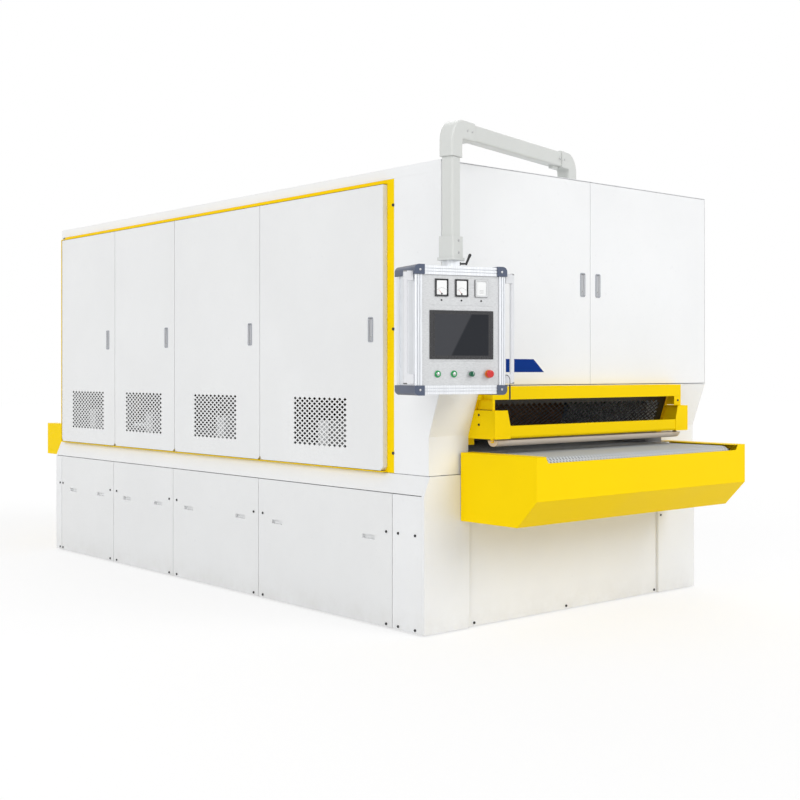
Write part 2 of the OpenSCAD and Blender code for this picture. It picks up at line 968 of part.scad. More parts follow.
// Square upright of the upper frame
module upright(x, y, low_z) {
  span([x, x + upright_w], [y - upright_w / 2, y + upright_w / 2], [low_z, fascia_z - gap]);
}

module head_frame() {
  color(white) {
    difference() {
      union() {
        for (x = [upright_x, upright_right_x]) {
          for (y = concat([front_beam_y], bay_lines)) upright(x, y, frame_top_z);
          for (z = [[frame_top_z, frame_top_z + low_rail_h], [top_rail_z, fascia_z - gap]])
            span([x, x + upright_w], [front_beam_y, bay_end_y], z);
        }
        span(
          [upright_right_x, upright_right_x + upright_w],
          [front_beam_y, bay_end_y], [girder_low_z, girder_low_z + girder_h]
        );
        for (y = concat([front_beam_y], bay_lines))
          span(
            [upright_x, upright_right_x + over],
            [y - upright_w / 2, y + upright_w / 2], [top_rail_z, fascia_z - gap]
          );
        span(
          [upright_x, upright_right_x + over],
          [front_beam_y - upright_w / 2, front_beam_y + upright_w / 2],
          [shelf_z - shelf_t - upright_w, shelf_z - shelf_t]
        );
        span(
          [cab_left_x + sheet_t, cab_right_x - sheet_t],
          [cab_front_y + 1, bulkhead_y + bulkhead_t], [shelf_z - shelf_t, shelf_z]
        );
        span(
          [upright_x, upright_right_x + upright_w],
          [bulkhead_y, bulkhead_y + bulkhead_t], [shelf_z - over, fascia_z - gap]
        );
      }
      for (x = [front_hinge_left_x, front_hinge_right_x])
        translate([x, front_hinge_y, shelf_z - shelf_t - over])
          cylinder(r = door_pin_r + fit, h = shelf_t + 2 * over);
    }
  }
}

module dust_outlets() {
  color(steel)
    for (y = head_y)
      translate([outlet_x, y, roof_h]) difference() {
        union() {
          cylinder(r = outlet_r, h = outlet_h);
          translate([-outlet_flange / 2, -outlet_flange / 2, 0])
            cube([outlet_flange, outlet_flange, outlet_flange_t]);
        }
        translate([0, 0, -over]) cylinder(r = outlet_r - sheet_t, h = outlet_h + 2 * over);
      }
}

module infeed_hood() {
  band_y = cab_front_y - hood_proud;
  top_z = front_door_z - seam;
  rear_line_y = cab_front_y - gap;
  color(yellow) {
    difference() {
      along_x(inner_left_x + hood_in, inner_right_x - hood_in)
        polygon([
          [band_y, hood_band_z], [band_y, top_z], [rear_line_y, top_z],
          [rear_line_y, hood_band_z]
        ]);
      along_x(inner_left_x + hood_in + sheet_t, inner_right_x - hood_in - sheet_t)
        polygon([
          [band_y + sheet_t, hood_band_z + sheet_t],
          [band_y + sheet_t, top_z - sheet_t],
          [rear_line_y + over, top_z - sheet_t],
          [rear_line_y + over, hood_band_z + sheet_t]
        ]);
    }
    for (x = [inner_left_x + gap, inner_right_x - stile_w - gap])
      along_x(x, x + stile_w)
        polygon([
          [cheek_y, hood_low_z], [cheek_y, knee_z],
          [cheek_at(hood_band_z - gap), hood_band_z - gap],
          [band_y + sheet_t, hood_band_z - gap],
          [band_y + sheet_t, hood_band_z], [rear_line_y, hood_band_z],
          [cheek_at(top_z), top_z - seam], [cheek_at(top_z) + 2 * seam, top_z - seam],
          [cheek_y + 2 * seam, knee_z], [cheek_y + 2 * seam, hood_low_z]
        ]);
  }
}

// Side outline of a guard stile, with round front corners
module stile_outline(g_y, round_r) {
  top_z = guard_low_z + guard_h;
  back = cheek_at(top_z) - gap;
  back_low = cheek_y - gap;
  difference() {
    polygon([
      [g_y, guard_low_z], [g_y, top_z], [back, top_z],
      [cheek_y - gap, knee_z], [back_low, guard_low_z]
    ]);
    for (v = [[guard_low_z, 1], [top_z, -1]])
      difference() {
        translate([g_y - over, v[1] > 0 ? v[0] - over : v[0] - round_r])
          square([round_r + over, round_r + over]);
        translate([g_y + round_r, v[0] + v[1] * round_r]) circle(round_r);
      }
  }
}

module guard_frame() {
  g_y = front_y - guard_depth;
  round_r = guard_round_r;
  x0 = inner_left_x;
  x1 = inner_right_x;
  color(yellow) difference() {
    guard_solid(g_y, round_r, x0, x1);
    bar_x(bar_pin_r + fit, x0, x1, bar_pivot_y, bar_pivot_z);
  }
}

// Stiles, lower rail and lugs of the guard
module guard_solid(g_y, round_r, x0, x1) {
  top_z = guard_low_z + guard_h;
  union() {
    for (x = [x0, x1 - frame_t])
      along_x(x, x + frame_t) stile_outline(g_y, round_r);
    for (x = [x0, x1 - stile_w])
      along_x(x, x + stile_w) difference() {
        stile_outline(g_y, round_r);
        translate([g_y + frame_t, guard_low_z + frame_t])
          square([-g_y, guard_h - 2 * frame_t]);
      }
    span([x0, x1], [g_y, g_y + frame_t], [guard_low_z + round_r, guard_low_z + guard_rail_h]);
    along_x(x0, x1) difference() {
      translate([g_y + round_r, guard_low_z + round_r]) circle(round_r);
      translate([g_y + round_r, guard_low_z + round_r]) circle(round_r - frame_t);
      translate([g_y + round_r, guard_low_z]) square([round_r, 2 * round_r]);
      translate([g_y, guard_low_z + round_r]) square([2 * round_r, round_r]);
    }
    span([x0, x1], [g_y + round_r, g_y + guard_rail_h], [guard_low_z, guard_low_z + frame_t]);
    span(
      [x0, x1], [g_y, g_y + guard_rail_h / 2],
      [guard_low_z + guard_rail_h - frame_t, guard_low_z + guard_rail_h]
    );
    for (x = [-bar_lug_x - frame_t, bar_lug_x])
      span([x, x + frame_t], [bar_pivot_y - lug_r, bar_pivot_y + lug_r], [bar_pivot_z - lug_r, guard_low_z]);
  }
}

module guard_mesh() {
  tilt = atan((cheek_y - cab_front_y) / (front_door_z - knee_z));
  half = bar_lug_x + 2;
  color(dark)
    translate([-half, cheek_y + frame_t, mesh_low_z])
      rotate([90 + tilt, 0, 0])
        linear_extrude(mesh_t) difference() {
          square([2 * half, mesh_h]);
          translate([mesh_border, mesh_border])
            diamond_field(
              2 * (half - mesh_border), mesh_h - 2 * mesh_border,
              mesh_pitch_x, mesh_pitch_z, mesh_hole_w, mesh_hole_h
            );
        }
}

module safety_bar() {
  bar_z = sand_z + bar_r + gap;
  half = bar_lug_x - gap;
  leg_z = bar_pivot_z - bar_leg_drop;
  color(cream) {
    along_x(-half, half) {
      difference() {
        translate([bar_pivot_y, bar_z]) circle(bar_r);
        translate([bar_pivot_y, bar_z]) circle(bar_r - sheet_t);
        translate([bar_pivot_y - 2 * bar_r, bar_z]) square([4 * bar_r, 2 * bar_r]);
      }
      for (y = [bar_pivot_y - bar_r, bar_pivot_y + bar_r - sheet_t])
        translate([y, bar_z - gap]) square([sheet_t, leg_z - bar_z + gap]);
    }
    for (x = [-half, half - sheet_t])
      along_x(x, x + sheet_t) {
        translate([bar_pivot_y, bar_z]) circle(bar_r - sheet_t / 2);
        translate([bar_pivot_y, bar_pivot_z]) circle(bar_rod_r);
      }
    for (x = [-half - frame_t, half - sheet_t / 2])
      bar_x(bar_pin_r, x, x + frame_t + sheet_t / 2, bar_pivot_y, bar_pivot_z);
  }
}

module arm_pedestal() {
  color(arm_white)
    translate([pivot_x, pivot_y, 0]) {
      translate([0, 0, roof_h]) linear_extrude(pedestal_t)
        round_rect(pedestal_w, pedestal_w - 2 * pedestal_t, pedestal_t);
      translate([0, 0, roof_h]) cylinder(r = pedestal_r, h = elbow_low_z - gap - roof_h);
      translate([0, 0, roof_h]) cylinder(r = journal_r, h = elbow_low_z + journal_h - roof_h);
    }
}

// Rectangular tube section, tall along the second axis
module tube_section(w, h) {
  round_rect(w, h, tube_corner_r);
}

// Quarter bend from straight down to level, with its axis across the arm
module bend(w, h) {
  rotate([90, 0, 0])
    rotate_extrude(angle = 90)
      translate([bend_r, 0]) tube_section(h, w);
}

module support_arm() {
  ew = tube_w + 2 * elbow_wall;
  eh = tube_h + 2 * elbow_wall;
  color(arm_white)
    translate([pivot_x, pivot_y, 0]) rotate([0, 0, 180 + arm_yaw]) difference() {
      union() {
        translate([bend_r, 0, arm_z]) rotate([90, 0, 90])
          linear_extrude(arm_l - 2 * bend_r) tube_section(tube_w, tube_h);
        translate([bend_r, 0, arm_z]) rotate([90, 0, 90])
          linear_extrude(socket_l - bend_r / 2) tube_section(ew, eh);
        translate([arm_l - bend_r - socket_l, 0, arm_z]) rotate([90, 0, 90])
          linear_extrude(socket_l) tube_section(ew, eh);
        translate([arm_l - bend_r, 0, arm_z - bend_r]) bend(ew, eh);
        mirror([1, 0, 0]) translate([-bend_r, 0, arm_z - bend_r]) bend(ew, eh);
        translate([0, 0, elbow_low_z])
          linear_extrude(arm_z - bend_r - elbow_low_z) tube_section(eh, ew);
        translate([arm_l, 0, arm_z - bend_r - socket_drop])
          linear_extrude(socket_drop) tube_section(eh, ew);
        translate([bend_r + socket_l, 0, arm_z - tube_h / 2 - 2 * elbow_wall])
          linear_extrude(3 * elbow_wall) tube_section(tube_w, tube_w / 2);
      }
      translate([0, 0, elbow_low_z - over])
        cylinder(r = journal_r + fit, h = journal_h + over + 1);
    }
}

module drop_tube() {
  color(arm_white)
    translate([tube_x, tube_y, 0]) rotate([0, 0, 180 + arm_yaw]) difference() {
      union() {
        translate([0, 0, collar_z + collar_h - over])
          linear_extrude(arm_z - bend_r - socket_drop - collar_z - collar_h + over)
            tube_section(tube_w + elbow_wall, tube_w);
        translate([0, 0, collar_z]) linear_extrude(collar_h)
          tube_section(collar_w, collar_w - elbow_wall);
        translate([0, 0, collar_z]) linear_extrude(collar_foot_h)
          tube_section(collar_w + 2 * elbow_wall, collar_w + elbow_wall);
      }
      translate([0, 0, collar_z - over])
        cylinder(r = journal_r + fit, h = journal_h + over + 1);
    }
}

// Places children in the frame of the control panel
module on_panel() {
  translate([tube_x, tube_y, 0]) rotate([0, 0, -panel_yaw]) children();
}

module panel_case() {
  pocket_hw = panel_w / 2 - profile_w;
  pocket_low = panel_z + corner_h;
  pocket_high = panel_top - corner_h;
  color(grey) on_panel() difference() {
    union() {
      translate([0, 0, panel_z]) linear_extrude(panel_h) round_rect(panel_w, panel_d, case_r);
      translate([-neck_w / 2, -neck_w / 2, panel_top - over])
        cube([neck_w, neck_w, collar_z - gap - panel_top + over]);
      translate([0, 0, panel_top]) cylinder(r = journal_r, h = collar_z + journal_h - panel_top);
    }
    span(
      [-pocket_hw, pocket_hw], [face_y - over, face_y + fascia_in + fascia_t],
      [pocket_low, pocket_high]
    );
    span(
      [-pocket_hw + over, pocket_hw - over], [face_y, back_y - side_recess - sheet_t],
      [pocket_low + over, pocket_high - over]
    );
    for (sx = [-1, 1]) {
      span(
        sx > 0 ? [panel_w / 2 - side_recess, panel_w] : [-panel_w, side_recess - panel_w / 2],
        [face_y + profile_w, back_y - profile_w], [pocket_low, pocket_high]
      );
      for (v = [1 / 3, 2 / 3])
        translate([sx * (panel_w / 2 - profile_w * v), face_y, pocket_low])
          translate([-notch_w / 2, -over, 0])
            cube([notch_w, notch_d + over, pocket_high - pocket_low]);
      for (z = [panel_z, panel_top])
        span(
          sx > 0 ? [panel_w / 2 - corner_w, panel_w] : [-panel_w, corner_w - panel_w / 2],
          [-panel_d, panel_d],
          z > panel_z ? [z - corner_h, z + over] : [z - over, z + corner_h]
        );
    }
    for (v = [1 / 3, 2 / 3], z = [panel_z + corner_h * v, panel_top - corner_h * v])
      span([-panel_w, panel_w], [face_y - over, face_y + notch_d], [z - notch_w / 2, z + notch_w / 2]);
  }
}

module panel_corners() {
  color(panel_blue) on_panel()
    for (sx = [-1, 1], sz = [-1, 1])
      along_y(face_y - corner_proud, back_y + corner_proud) {
        x0 = panel_w / 2 - corner_w;
        z0 = panel_h / 2 - corner_h;
        translate([0, panel_z + panel_h / 2])
          scale([sx, sz]) {
            difference() {
              translate([x0 + gap, z0 + gap])
                square([corner_w - gap + corner_proud, corner_h - gap + corner_proud]);
              translate([panel_w / 2 + corner_proud - 3 * case_r, panel_h / 2 + corner_proud - 3 * case_r])
                difference() {
                  square(4 * case_r);
                  circle(3 * case_r);
                }
            }
          }
      }
}

// Button bezel on the fascia
module bezel(x) {
  translate([x, face_y + fascia_in + over / 10, button_z]) rotate([90, 0, 0])
    cylinder(r = button_bezel_r, h = button_bezel_t);
}

module panel_fascia() {
  pocket_hw = panel_w / 2 - profile_w - gap;
  groove_zs = [screen_z + screen_h / 2 + corner_h / 2, screen_z - screen_h / 2 - corner_h / 3];
  color(side_grey) on_panel() difference() {
    union() {
      span(
        [-pocket_hw, pocket_hw], [face_y + fascia_in, face_y + fascia_in + fascia_t],
        [panel_z + corner_h + gap, panel_top - corner_h - gap]
      );
      for (x = button_x) bezel(x);
    }
    span(
      [screen_x - screen_w / 2, screen_x + screen_w / 2], [face_y, face_y + panel_d / 2],
      [screen_z - screen_h / 2, screen_z + screen_h / 2]
    );
    for (i = [-1:1])
      span(
        [meter_x(i) - meter_w / 2, meter_x(i) + meter_w / 2], [face_y, face_y + panel_d / 2],
        [meter_z - meter_h / 2, meter_z + meter_h / 2]
      );
    for (z = groove_zs)
      span(
        [-screen_w / 2, screen_w / 2], [face_y, face_y + fascia_in + fascia_t / 4],
        [z - notch_w, z + notch_w]
      );
    for (x = button_x)
      translate([x, 0, button_z]) rotate([90, 0, 0])
        cylinder(r = button_r, h = panel_d);
  }
}

module panel_screen() {
  w = screen_w - 2 * gap;
  h = screen_h - 2 * gap;
  front = face_y + fascia_in - screen_proud;
  color(dark) on_panel() translate([screen_x, 0, screen_z]) difference() {
    span([-w / 2, w / 2], [front, front + screen_depth], [-h / 2, h / 2]);
    span(
      [screen_depth / 2 - w / 2, w / 2 - screen_depth / 2], [front - over, front + screen_proud / 4],
      [screen_depth / 4 - h / 2, h / 2 - screen_depth / 4]
    );
  }
}

module panel_meters() {
  front = face_y + fascia_in - meter_proud;
  rim = meter_proud / 2;
  color("white") on_panel()
    for (i = [-1:1])
      translate([meter_x(i), 0, meter_z]) difference() {
        span(
          [gap - meter_w / 2, meter_w / 2 - gap], [front, front + meter_depth],
          [gap - meter_h / 2, meter_h / 2 - gap]
        );
        span(
          [rim - meter_w / 2, meter_w / 2 - rim], [front - over, front + rim],
          [rim - meter_h / 2, meter_h / 2 - rim]
        );
      }
}

// Vertical grip tube with a bracket at each end
module grip(side, off) {
  tube_cx = side * (panel_w / 2 + off);
  y = face_y + handle_in;
  translate([tube_cx, y, handle_low_z]) cylinder(r = handle_r, h = handle_high_z - handle_low_z);
  for (end = [[handle_low_z, gap], [handle_high_z - handle_bracket_h, corner_proud + gap]]) {
    seat_x = side * (panel_w / 2 + end[1]);
    span(
      [min(seat_x, tube_cx), max(seat_x, tube_cx)],
      [y - handle_r, y + handle_r], [end[0], end[0] + handle_bracket_h]
    );
  }
}

module panel_handles() {
  color("white") on_panel() {
    grip(-1, handle_left_off);
    grip(1, handle_right_off);
  }
}

// Tube of even thickness along a route, closed at both ends
module route_tube(route, r, sides) {
  n = len(route);
  function heading(i) =
    let (d = route[min(i + 1, n - 1)] - route[max(i - 1, 0)]) d / norm(d);
  function ring(i) =
    let (t = heading(i), a = [1, 0, 0], b = cross(t, a))
      [for (k = [0:sides - 1]) route[i] + r * (cos(360 * k / sides) * a + sin(360 * k / sides) * b)];
  points = [for (i = [0:n - 1]) each ring(i)];
  walls = [
    for (i = [0:n - 2], k = [0:sides - 1])
      let (a = i * sides + k, b = i * sides + (k + 1) % sides)
        each [[a, b, a + sides], [b, b + sides, a + sides]]
  ];
  caps = [
    for (k = [1:sides - 2]) each [
      [0, k + 1, k],
      [(n - 1) * sides, (n - 1) * sides + k, (n - 1) * sides + k + 1]
    ]
  ];
  polyhedron(points = points, faces = concat(walls, caps));
}

module pen_cord() {
  color(dark) on_panel() translate([0, 0, panel_z]) route_tube(pen_route, cord_r, cord_sides);
}

module touch_pen() {
  end = pen_route[len(pen_route) - 1];
  color(dark) on_panel() translate([end[0], end[1], panel_z + end[2]]) {
    translate([0, 0, pen_tip_l - pen_l]) cylinder(r = pen_r, h = pen_l - pen_tip_l);
    translate([0, 0, -pen_l]) cylinder(r1 = pen_r / 3, r2 = pen_r, h = pen_tip_l);
  }
}

// Plunger of a round push button
module plunger(x) {
  on_panel()
    translate([x, face_y + fascia_in - button_bezel_t - button_proud, button_z])
      rotate([-90, 0, 0]) cylinder(r = button_r - fit, h = button_l);
}

module green_button_1() {
  color("green") plunger(button_x[0]);
}

module green_button_2() {
  color("green") plunger(button_x[1]);
}

module selector_switch() {
  front = face_y + fascia_in - button_bezel_t;
  color(dark) {
    plunger(button_x[2]);
    on_panel() translate([button_x[2], front - gap - selector_r, button_z]) {
      rotate([-90, 0, 0]) cylinder(r = selector_r, h = selector_r);
      span(
        [-selector_grip / 2, selector_grip / 2], [-selector_grip, selector_grip],
        [-selector_r + gap, selector_r - gap]
      );
    }
  }
}

module e_stop_button() {
  front = face_y + fascia_in - button_bezel_t;
  color("red") {
    plunger(button_x[3]);
    on_panel() translate([button_x[3], front - stop_proud, button_z]) rotate([-90, 0, 0])
      rotate_extrude() polygon([
        [0, 0], [stop_r * 0.7, 0], [stop_r * 0.93, stop_proud * 0.1], [stop_r, stop_proud * 0.3],
        [stop_r * 0.93, stop_proud * 0.5], [stop_stem_r - fit, stop_proud * 0.55],
        [stop_stem_r - fit, stop_proud], [0, stop_proud]
      ]);
  }
}

// Outline of a side door in Y and Z, with its lower corners cut
module door_outline(y, inset) {
  low = side_door_low_z + inset;
  high = side_door_high_z - inset;
  cut = corner_cut + inset / 2;
  polygon([
    [y[0] + inset, low + cut], [y[0] + inset + cut, low],
    [y[1] - inset - cut, low], [y[1] - inset, low + cut],
    [y[1] - inset, high], [y[0] + inset, high]
  ]);
}

// Latch tray behind the skin of a door that faces -X, about its centre
module latch_tray() {
  span(
    [-bezel_t, tray_d], [-latch_w / 2, latch_w / 2], [-latch_h / 2, latch_h / 2]
  );
}

// Hollow of a latch tray, with the bore of the lever's pin
module latch_hollow() {
  span(
    [-over, tray_d - bezel_rim], [bezel_rim - latch_w / 2, latch_w / 2 - bezel_rim],
    [bezel_rim - latch_h / 2, latch_h / 2 - bezel_rim]
  );
  translate([pivot_in, 0, latch_h / 2 - pivot_drop]) rotate([90, 0, 0])
    cylinder(r = lever_pin_r + fit, h = latch_w - bezel_rim, center = true);
}

// Lever of a latch that faces -X, on its pin
module latch_lever() {
  w = latch_w - 2 * bezel_rim - 2 * lever_play;
  low = bezel_rim + lever_play - latch_h / 2;
  pin_z = latch_h / 2 - pivot_drop;
  translate([0, -w / 2, 0]) {
    span([pivot_in - lever_t / 2, pivot_in + lever_t / 2], [0, w], [low, pin_z]);
    translate([pivot_in, w, pin_z]) rotate([90, 0, 0]) cylinder(r = lever_r, h = w);
  }
  translate([pivot_in, 0, pin_z]) rotate([90, 0, 0])
    cylinder(r = lever_pin_r, h = latch_w - bezel_rim - lever_play, center = true);
}

// Side door of one bay
module side_door(i) {
  y = [bay_lines[i] + seam / 2, bay_lines[i + 1] - seam / 2];
  pin_x = side_door_x + pin_inset;
  pin_y = y[1] - pin_inset;
  latch = [side_door_x, y[0] + latch_inset, side_latch_z];
  field_y = bay_lines[i + 1] - grille_gaps[i] - grille_w;
  color(side_grey) {
    difference() {
      union() {
        difference() {
          along_x(side_door_x, side_door_x + door_d) door_outline(y, 0);
          along_x(side_door_x + sheet_t, side_door_x + door_d + over) door_outline(y, sheet_t);
        }
        translate(latch) latch_tray();
      }
      translate(latch) latch_hollow();
      along_x(side_door_x - over, side_door_x + sheet_t + over)
        translate([field_y, grille_z])
          diamond_field(grille_w, grille_h, hole_pitch_y, hole_pitch_z, hole_w, hole_h);
    }
    for (z = [side_door_low_z + corner_cut + sheet_t, side_door_high_z - pin_block_h])
      span(
        [side_door_x + sheet_t / 2, side_door_x + pin_block],
        [y[1] - pin_block, y[1] - sheet_t / 2], [z, z + pin_block_h - sheet_t / 2]
      );
    translate([pin_x, pin_y, lip_low_z]) cylinder(
      r = door_pin_r, h = side_door_low_z + 2 * corner_cut - lip_low_z
    );
    translate([pin_x, pin_y, side_door_high_z - pin_block_h]) cylinder(
      r = door_pin_r, h = lip_high_z + frame_t - side_door_high_z + pin_block_h
    );
  }
}

module side_door_1() { side_door(0); }
module side_door_2() { side_door(1); }
module side_door_3() { side_door(2); }
module side_door_4() { side_door(3); }

module side_latch(i) {
  color(steel)
    translate([side_door_x, bay_lines[i] + seam / 2 + latch_inset, side_latch_z]) latch_lever();
}

module side_latch_1() { side_latch(0); }
module side_latch_2() { side_latch(1); }
module side_latch_3() { side_latch(2); }
module side_latch_4() { side_latch(3); }

// Front door between two edges, hinged at the outer one
module front_door(x, hinge_x, latch_x) {
  low = front_door_z + door_gap;
  latch = [latch_x, cab_front_y, front_latch_z];
  block = sign(x[0] + x[1] - 2 * hinge_x);
  color(white) {
    difference() {
      union() {
        pan_y(cab_front_y, -1, x, [low, front_door_top_z], front_door_d);
        translate(latch) rotate([0, 0, 90]) latch_tray();
      }
      translate(latch) rotate([0, 0, 90]) latch_hollow();
    }
    for (z = [low, front_door_top_z - pin_block_h])
      span(
        block > 0 ? [x[0] + sheet_t / 2, x[0] + front_pin_block]
          : [x[1] - front_pin_block, x[1] - sheet_t / 2],
        [cab_front_y + sheet_t / 2, cab_front_y + pin_block], [z, z + pin_block_h]
      );
    translate([hinge_x, front_hinge_y, shelf_z - shelf_t]) cylinder(
      r = door_pin_r, h = low + pin_block_h - shelf_z + shelf_t
    );
    translate([hinge_x, front_hinge_y, front_door_top_z - pin_block_h]) cylinder(
      r = door_pin_r, h = roof_h - front_door_top_z + pin_block_h
    );
  }
}

module front_door_left() {
  front_door(
    [cab_left_x + sheet_t + door_gap, front_seam_x - seam / 2],
    front_hinge_left_x, front_seam_x - front_latch_off
  );
}

module front_door_right() {
  front_door(
    [front_seam_x + seam / 2, cab_right_x - sheet_t - door_gap],
    front_hinge_right_x, front_seam_x + front_latch_off
  );
}

module front_latch(x) {
  color(steel) translate([x, cab_front_y, front_latch_z]) rotate([0, 0, 90]) latch_lever();
}

module front_latch_left() { front_latch(front_seam_x - front_latch_off); }
module front_latch_right() { front_latch(front_seam_x + front_latch_off); }

module table_bed() {
  low_z = axis_z - loop_r - table_clear - table_cross_h;
  cross_top_z = axis_z - loop_r - table_clear;
  color(steel) difference() {
    union() {
      span(
        [-bed_side_x - over, bed_side_x + over], [nose_y + bed_inset, drive_y - bed_inset],
        [axis_z + roller_r - bed_plate_t, axis_z + roller_r]
      );
      for (y = bed_rib_y)
        span(
          [-bed_side_x - over, bed_side_x + over], [y, y + bed_plate_t],
          [axis_z - roller_r + bed_clear, axis_z + roller_r - bed_plate_t / 2]
        );
      for (sx = [-1, 1]) {
        span(
          sx > 0 ? [bed_side_x, bed_side_x + side_plate_t] : [-bed_side_x - side_plate_t, -bed_side_x],
          [nose_y - axle_r - side_margin, drive_y + axle_r + side_margin],
          [low_z, feed_h - side_drop]
        );
        for (y = [bay_a_y, bay_c_y])
          span(
            sx > 0 ? [bed_side_x, screw_x + bracket_reach] : [-screw_x - bracket_reach, -bed_side_x],
            [y - bracket_reach, y + bracket_reach], [low_z, low_z + bracket_t]
          );
        for (y = [nose_y + bed_inset, front_y - bed_inset, rear_y + bed_inset, drive_y - bed_inset])
          span(
            sx > 0 ? [bed_side_x, apron_hw - apron_t] : [apron_t - apron_hw, -bed_side_x],
            [y - bracket_t / 2, y + bracket_t / 2], [axis_z - bracket_t / 2, axis_z + bracket_t / 2]
          );
      }
      for (y = concat([front_y - bed_inset], bay_lines, [rear_y + bed_inset]))
        along_x(-bed_side_x - over, bed_side_x + over)
          translate([y, (low_z + cross_top_z) / 2]) difference() {
            square([table_cross_w, cross_top_z - low_z], center = true);
            square(
              [table_cross_w - 2 * table_wall, cross_top_z - low_z - 2 * table_wall],
              center = true
            );
          }
    }
    for (y = [nose_y, drive_y])
      bar_x(axle_r + fit, -base_w, base_w, y, axis_z);
  }
}

// Side outline of the infeed apron
module infeed_outline(inset) {
  f = front_y - infeed_l;
  b = front_y - apron_gap + (inset > 0 ? over : 0);
  polygon([
    [b, apron_low_z + inset], [f + apron_slant + inset / 2, apron_low_z + inset],
    [f + inset, apron_face_z + inset / 2], [f + inset, apron_z - inset], [b, apron_z - inset]
  ]);
}

// Notch for the belt, in X and Z, with sloping ends under the ears
module notch_outline() {
  half = apron_hw - apron_rim;
  polygon([
    [-half, notch_z], [half, notch_z],
    [half + ear_slope, apron_z + over], [-half - ear_slope, apron_z + over]
  ]);
}

module infeed_apron() {
  f = front_y - infeed_l;
  half = apron_hw - apron_rim;
  color(yellow) difference() {
    along_x(-apron_hw, apron_hw) infeed_outline(0);
    along_x(apron_t - apron_hw, apron_hw - apron_t) infeed_outline(apron_t);
    span([-half, half], [f + apron_t, front_y + over], [apron_z - 2 * apron_t, apron_z + over]);
    along_y(f - over, f + apron_t + over) notch_outline();
  }
}

// Plan of the outfeed apron, with round rear corners
module outfeed_plan(inset) {
  r = outfeed_corner_r;
  half = apron_hw - inset;
  front = rear_y + apron_gap - (inset > 0 ? over : 0);
  back = rear_y + outfeed_l - inset;
  translate([-half, front]) square([2 * half, back - r - front]);
  translate([r - half, back - 2 * r]) square([2 * (half - r), 2 * r]);
  for (sx = [-1, 1]) translate([sx * (half - r), back - r]) circle(r);
}

module outfeed_apron() {
  b = rear_y + outfeed_l;
  half = apron_hw - apron_rim;
  color(yellow) difference() {
    translate([0, 0, outfeed_low_z]) linear_extrude(apron_z - outfeed_low_z) outfeed_plan(0);
    translate([0, 0, outfeed_low_z + apron_t])
      linear_extrude(apron_z - outfeed_low_z - 2 * apron_t) outfeed_plan(apron_t);
    span([-half, half], [rear_y - over, b - apron_t], [apron_z - 2 * apron_t, apron_z + over]);
    along_y(b - apron_t - over, b + over) notch_outline();
  }
}

module lift_screws() {
  low_z = axis_z - loop_r - table_clear - table_cross_h;
  color(steel)
    for (sx = [-1, 1], y = [bay_a_y, bay_c_y])
      translate([sx * screw_x, y, screw_low_z]) cylinder(r = screw_r, h = low_z - screw_low_z);
}

// Outline of a belt round the two table rollers
module belt_outline(r) {
  for (y = [nose_y, drive_y]) translate([y, axis_z]) circle(r);
  translate([nose_y, axis_z - r]) square([drive_y - nose_y, 2 * r]);
}

module conveyor_belt() {
  color(grey)
    along_x(-belt_w / 2, belt_w / 2) difference() {
      belt_outline(loop_r);
      belt_outline(roller_r + gap);
    }
}

// Table roller on its axle
module table_roller(y) {
  color(steel) {
    bar_x(roller_r, -belt_w / 2, belt_w / 2, y, axis_z);
    bar_x(axle_r, -bed_side_x - side_plate_t, bed_side_x + side_plate_t, y, axis_z);
  }
}

module nose_roller() { table_roller(nose_y); }
module drive_roller() { table_roller(drive_y); }

// Grooved drum on its axle, about its own axis
module drum(r, axle, reach) {
  count = floor(drum_l / groove_pitch);
  first = (count - 1) * groove_pitch / 2;
  rotate([0, 90, 0]) {
    rotate_extrude() polygon(concat(
      [[0, -drum_l / 2], [r, -drum_l / 2]],
      [for (k = [0:count - 1]) let (c = k * groove_pitch - first) each [
        [r, c - groove_w / 2], [r - groove_d, c - groove_w / 4],
        [r - groove_d, c + groove_w / 4], [r, c + groove_w / 2]
      ]],
      [[r, drum_l / 2], [0, drum_l / 2]]
    ));
    translate([0, 0, -plate_x - plate_t])
      cylinder(r = axle, h = plate_x + plate_t + reach);
  }
}

module contact_drum(i) {
  color(dark) translate([0, head_y[i], drum_z(i)])
    drum(drum_r[i], drum_axle_r, guard_x - gap);
}

module contact_drum_1() { contact_drum(0); }
module contact_drum_2() { contact_drum(1); }
module contact_drum_3() { contact_drum(2); }

module tension_roller(i) {
  color(steel) translate([0, head_y[i], tension_z]) rotate([0, 90, 0]) {
    cylinder(r = tension_r, h = drum_l, center = true);
    cylinder(r = roller_axle_r, h = 2 * (plate_x + plate_t), center = true);
  }
}

module tension_roller_1() { tension_roller(0); }
module tension_roller_2() { tension_roller(1); }
module tension_roller_3() { tension_roller(2); }

module brush_roller() {
  color(cream) translate([0, head_y[3], brush_z]) drum(brush_r, drum_axle_r, guard_x - gap);
}

module abrasive_belts() {
  color("peru")
    for (i = [0:2])
      along_x(-abrasive_w / 2, abrasive_w / 2)
        translate([head_y[i], drum_z(i)]) difference() {
          loop_outline(
            drum_r[i] + gap + belt_sheet_t, tension_r + gap + belt_sheet_t, tension_z - drum_z(i)
          );
          loop_outline(drum_r[i] + gap, tension_r + gap, tension_z - drum_z(i));
        }
}

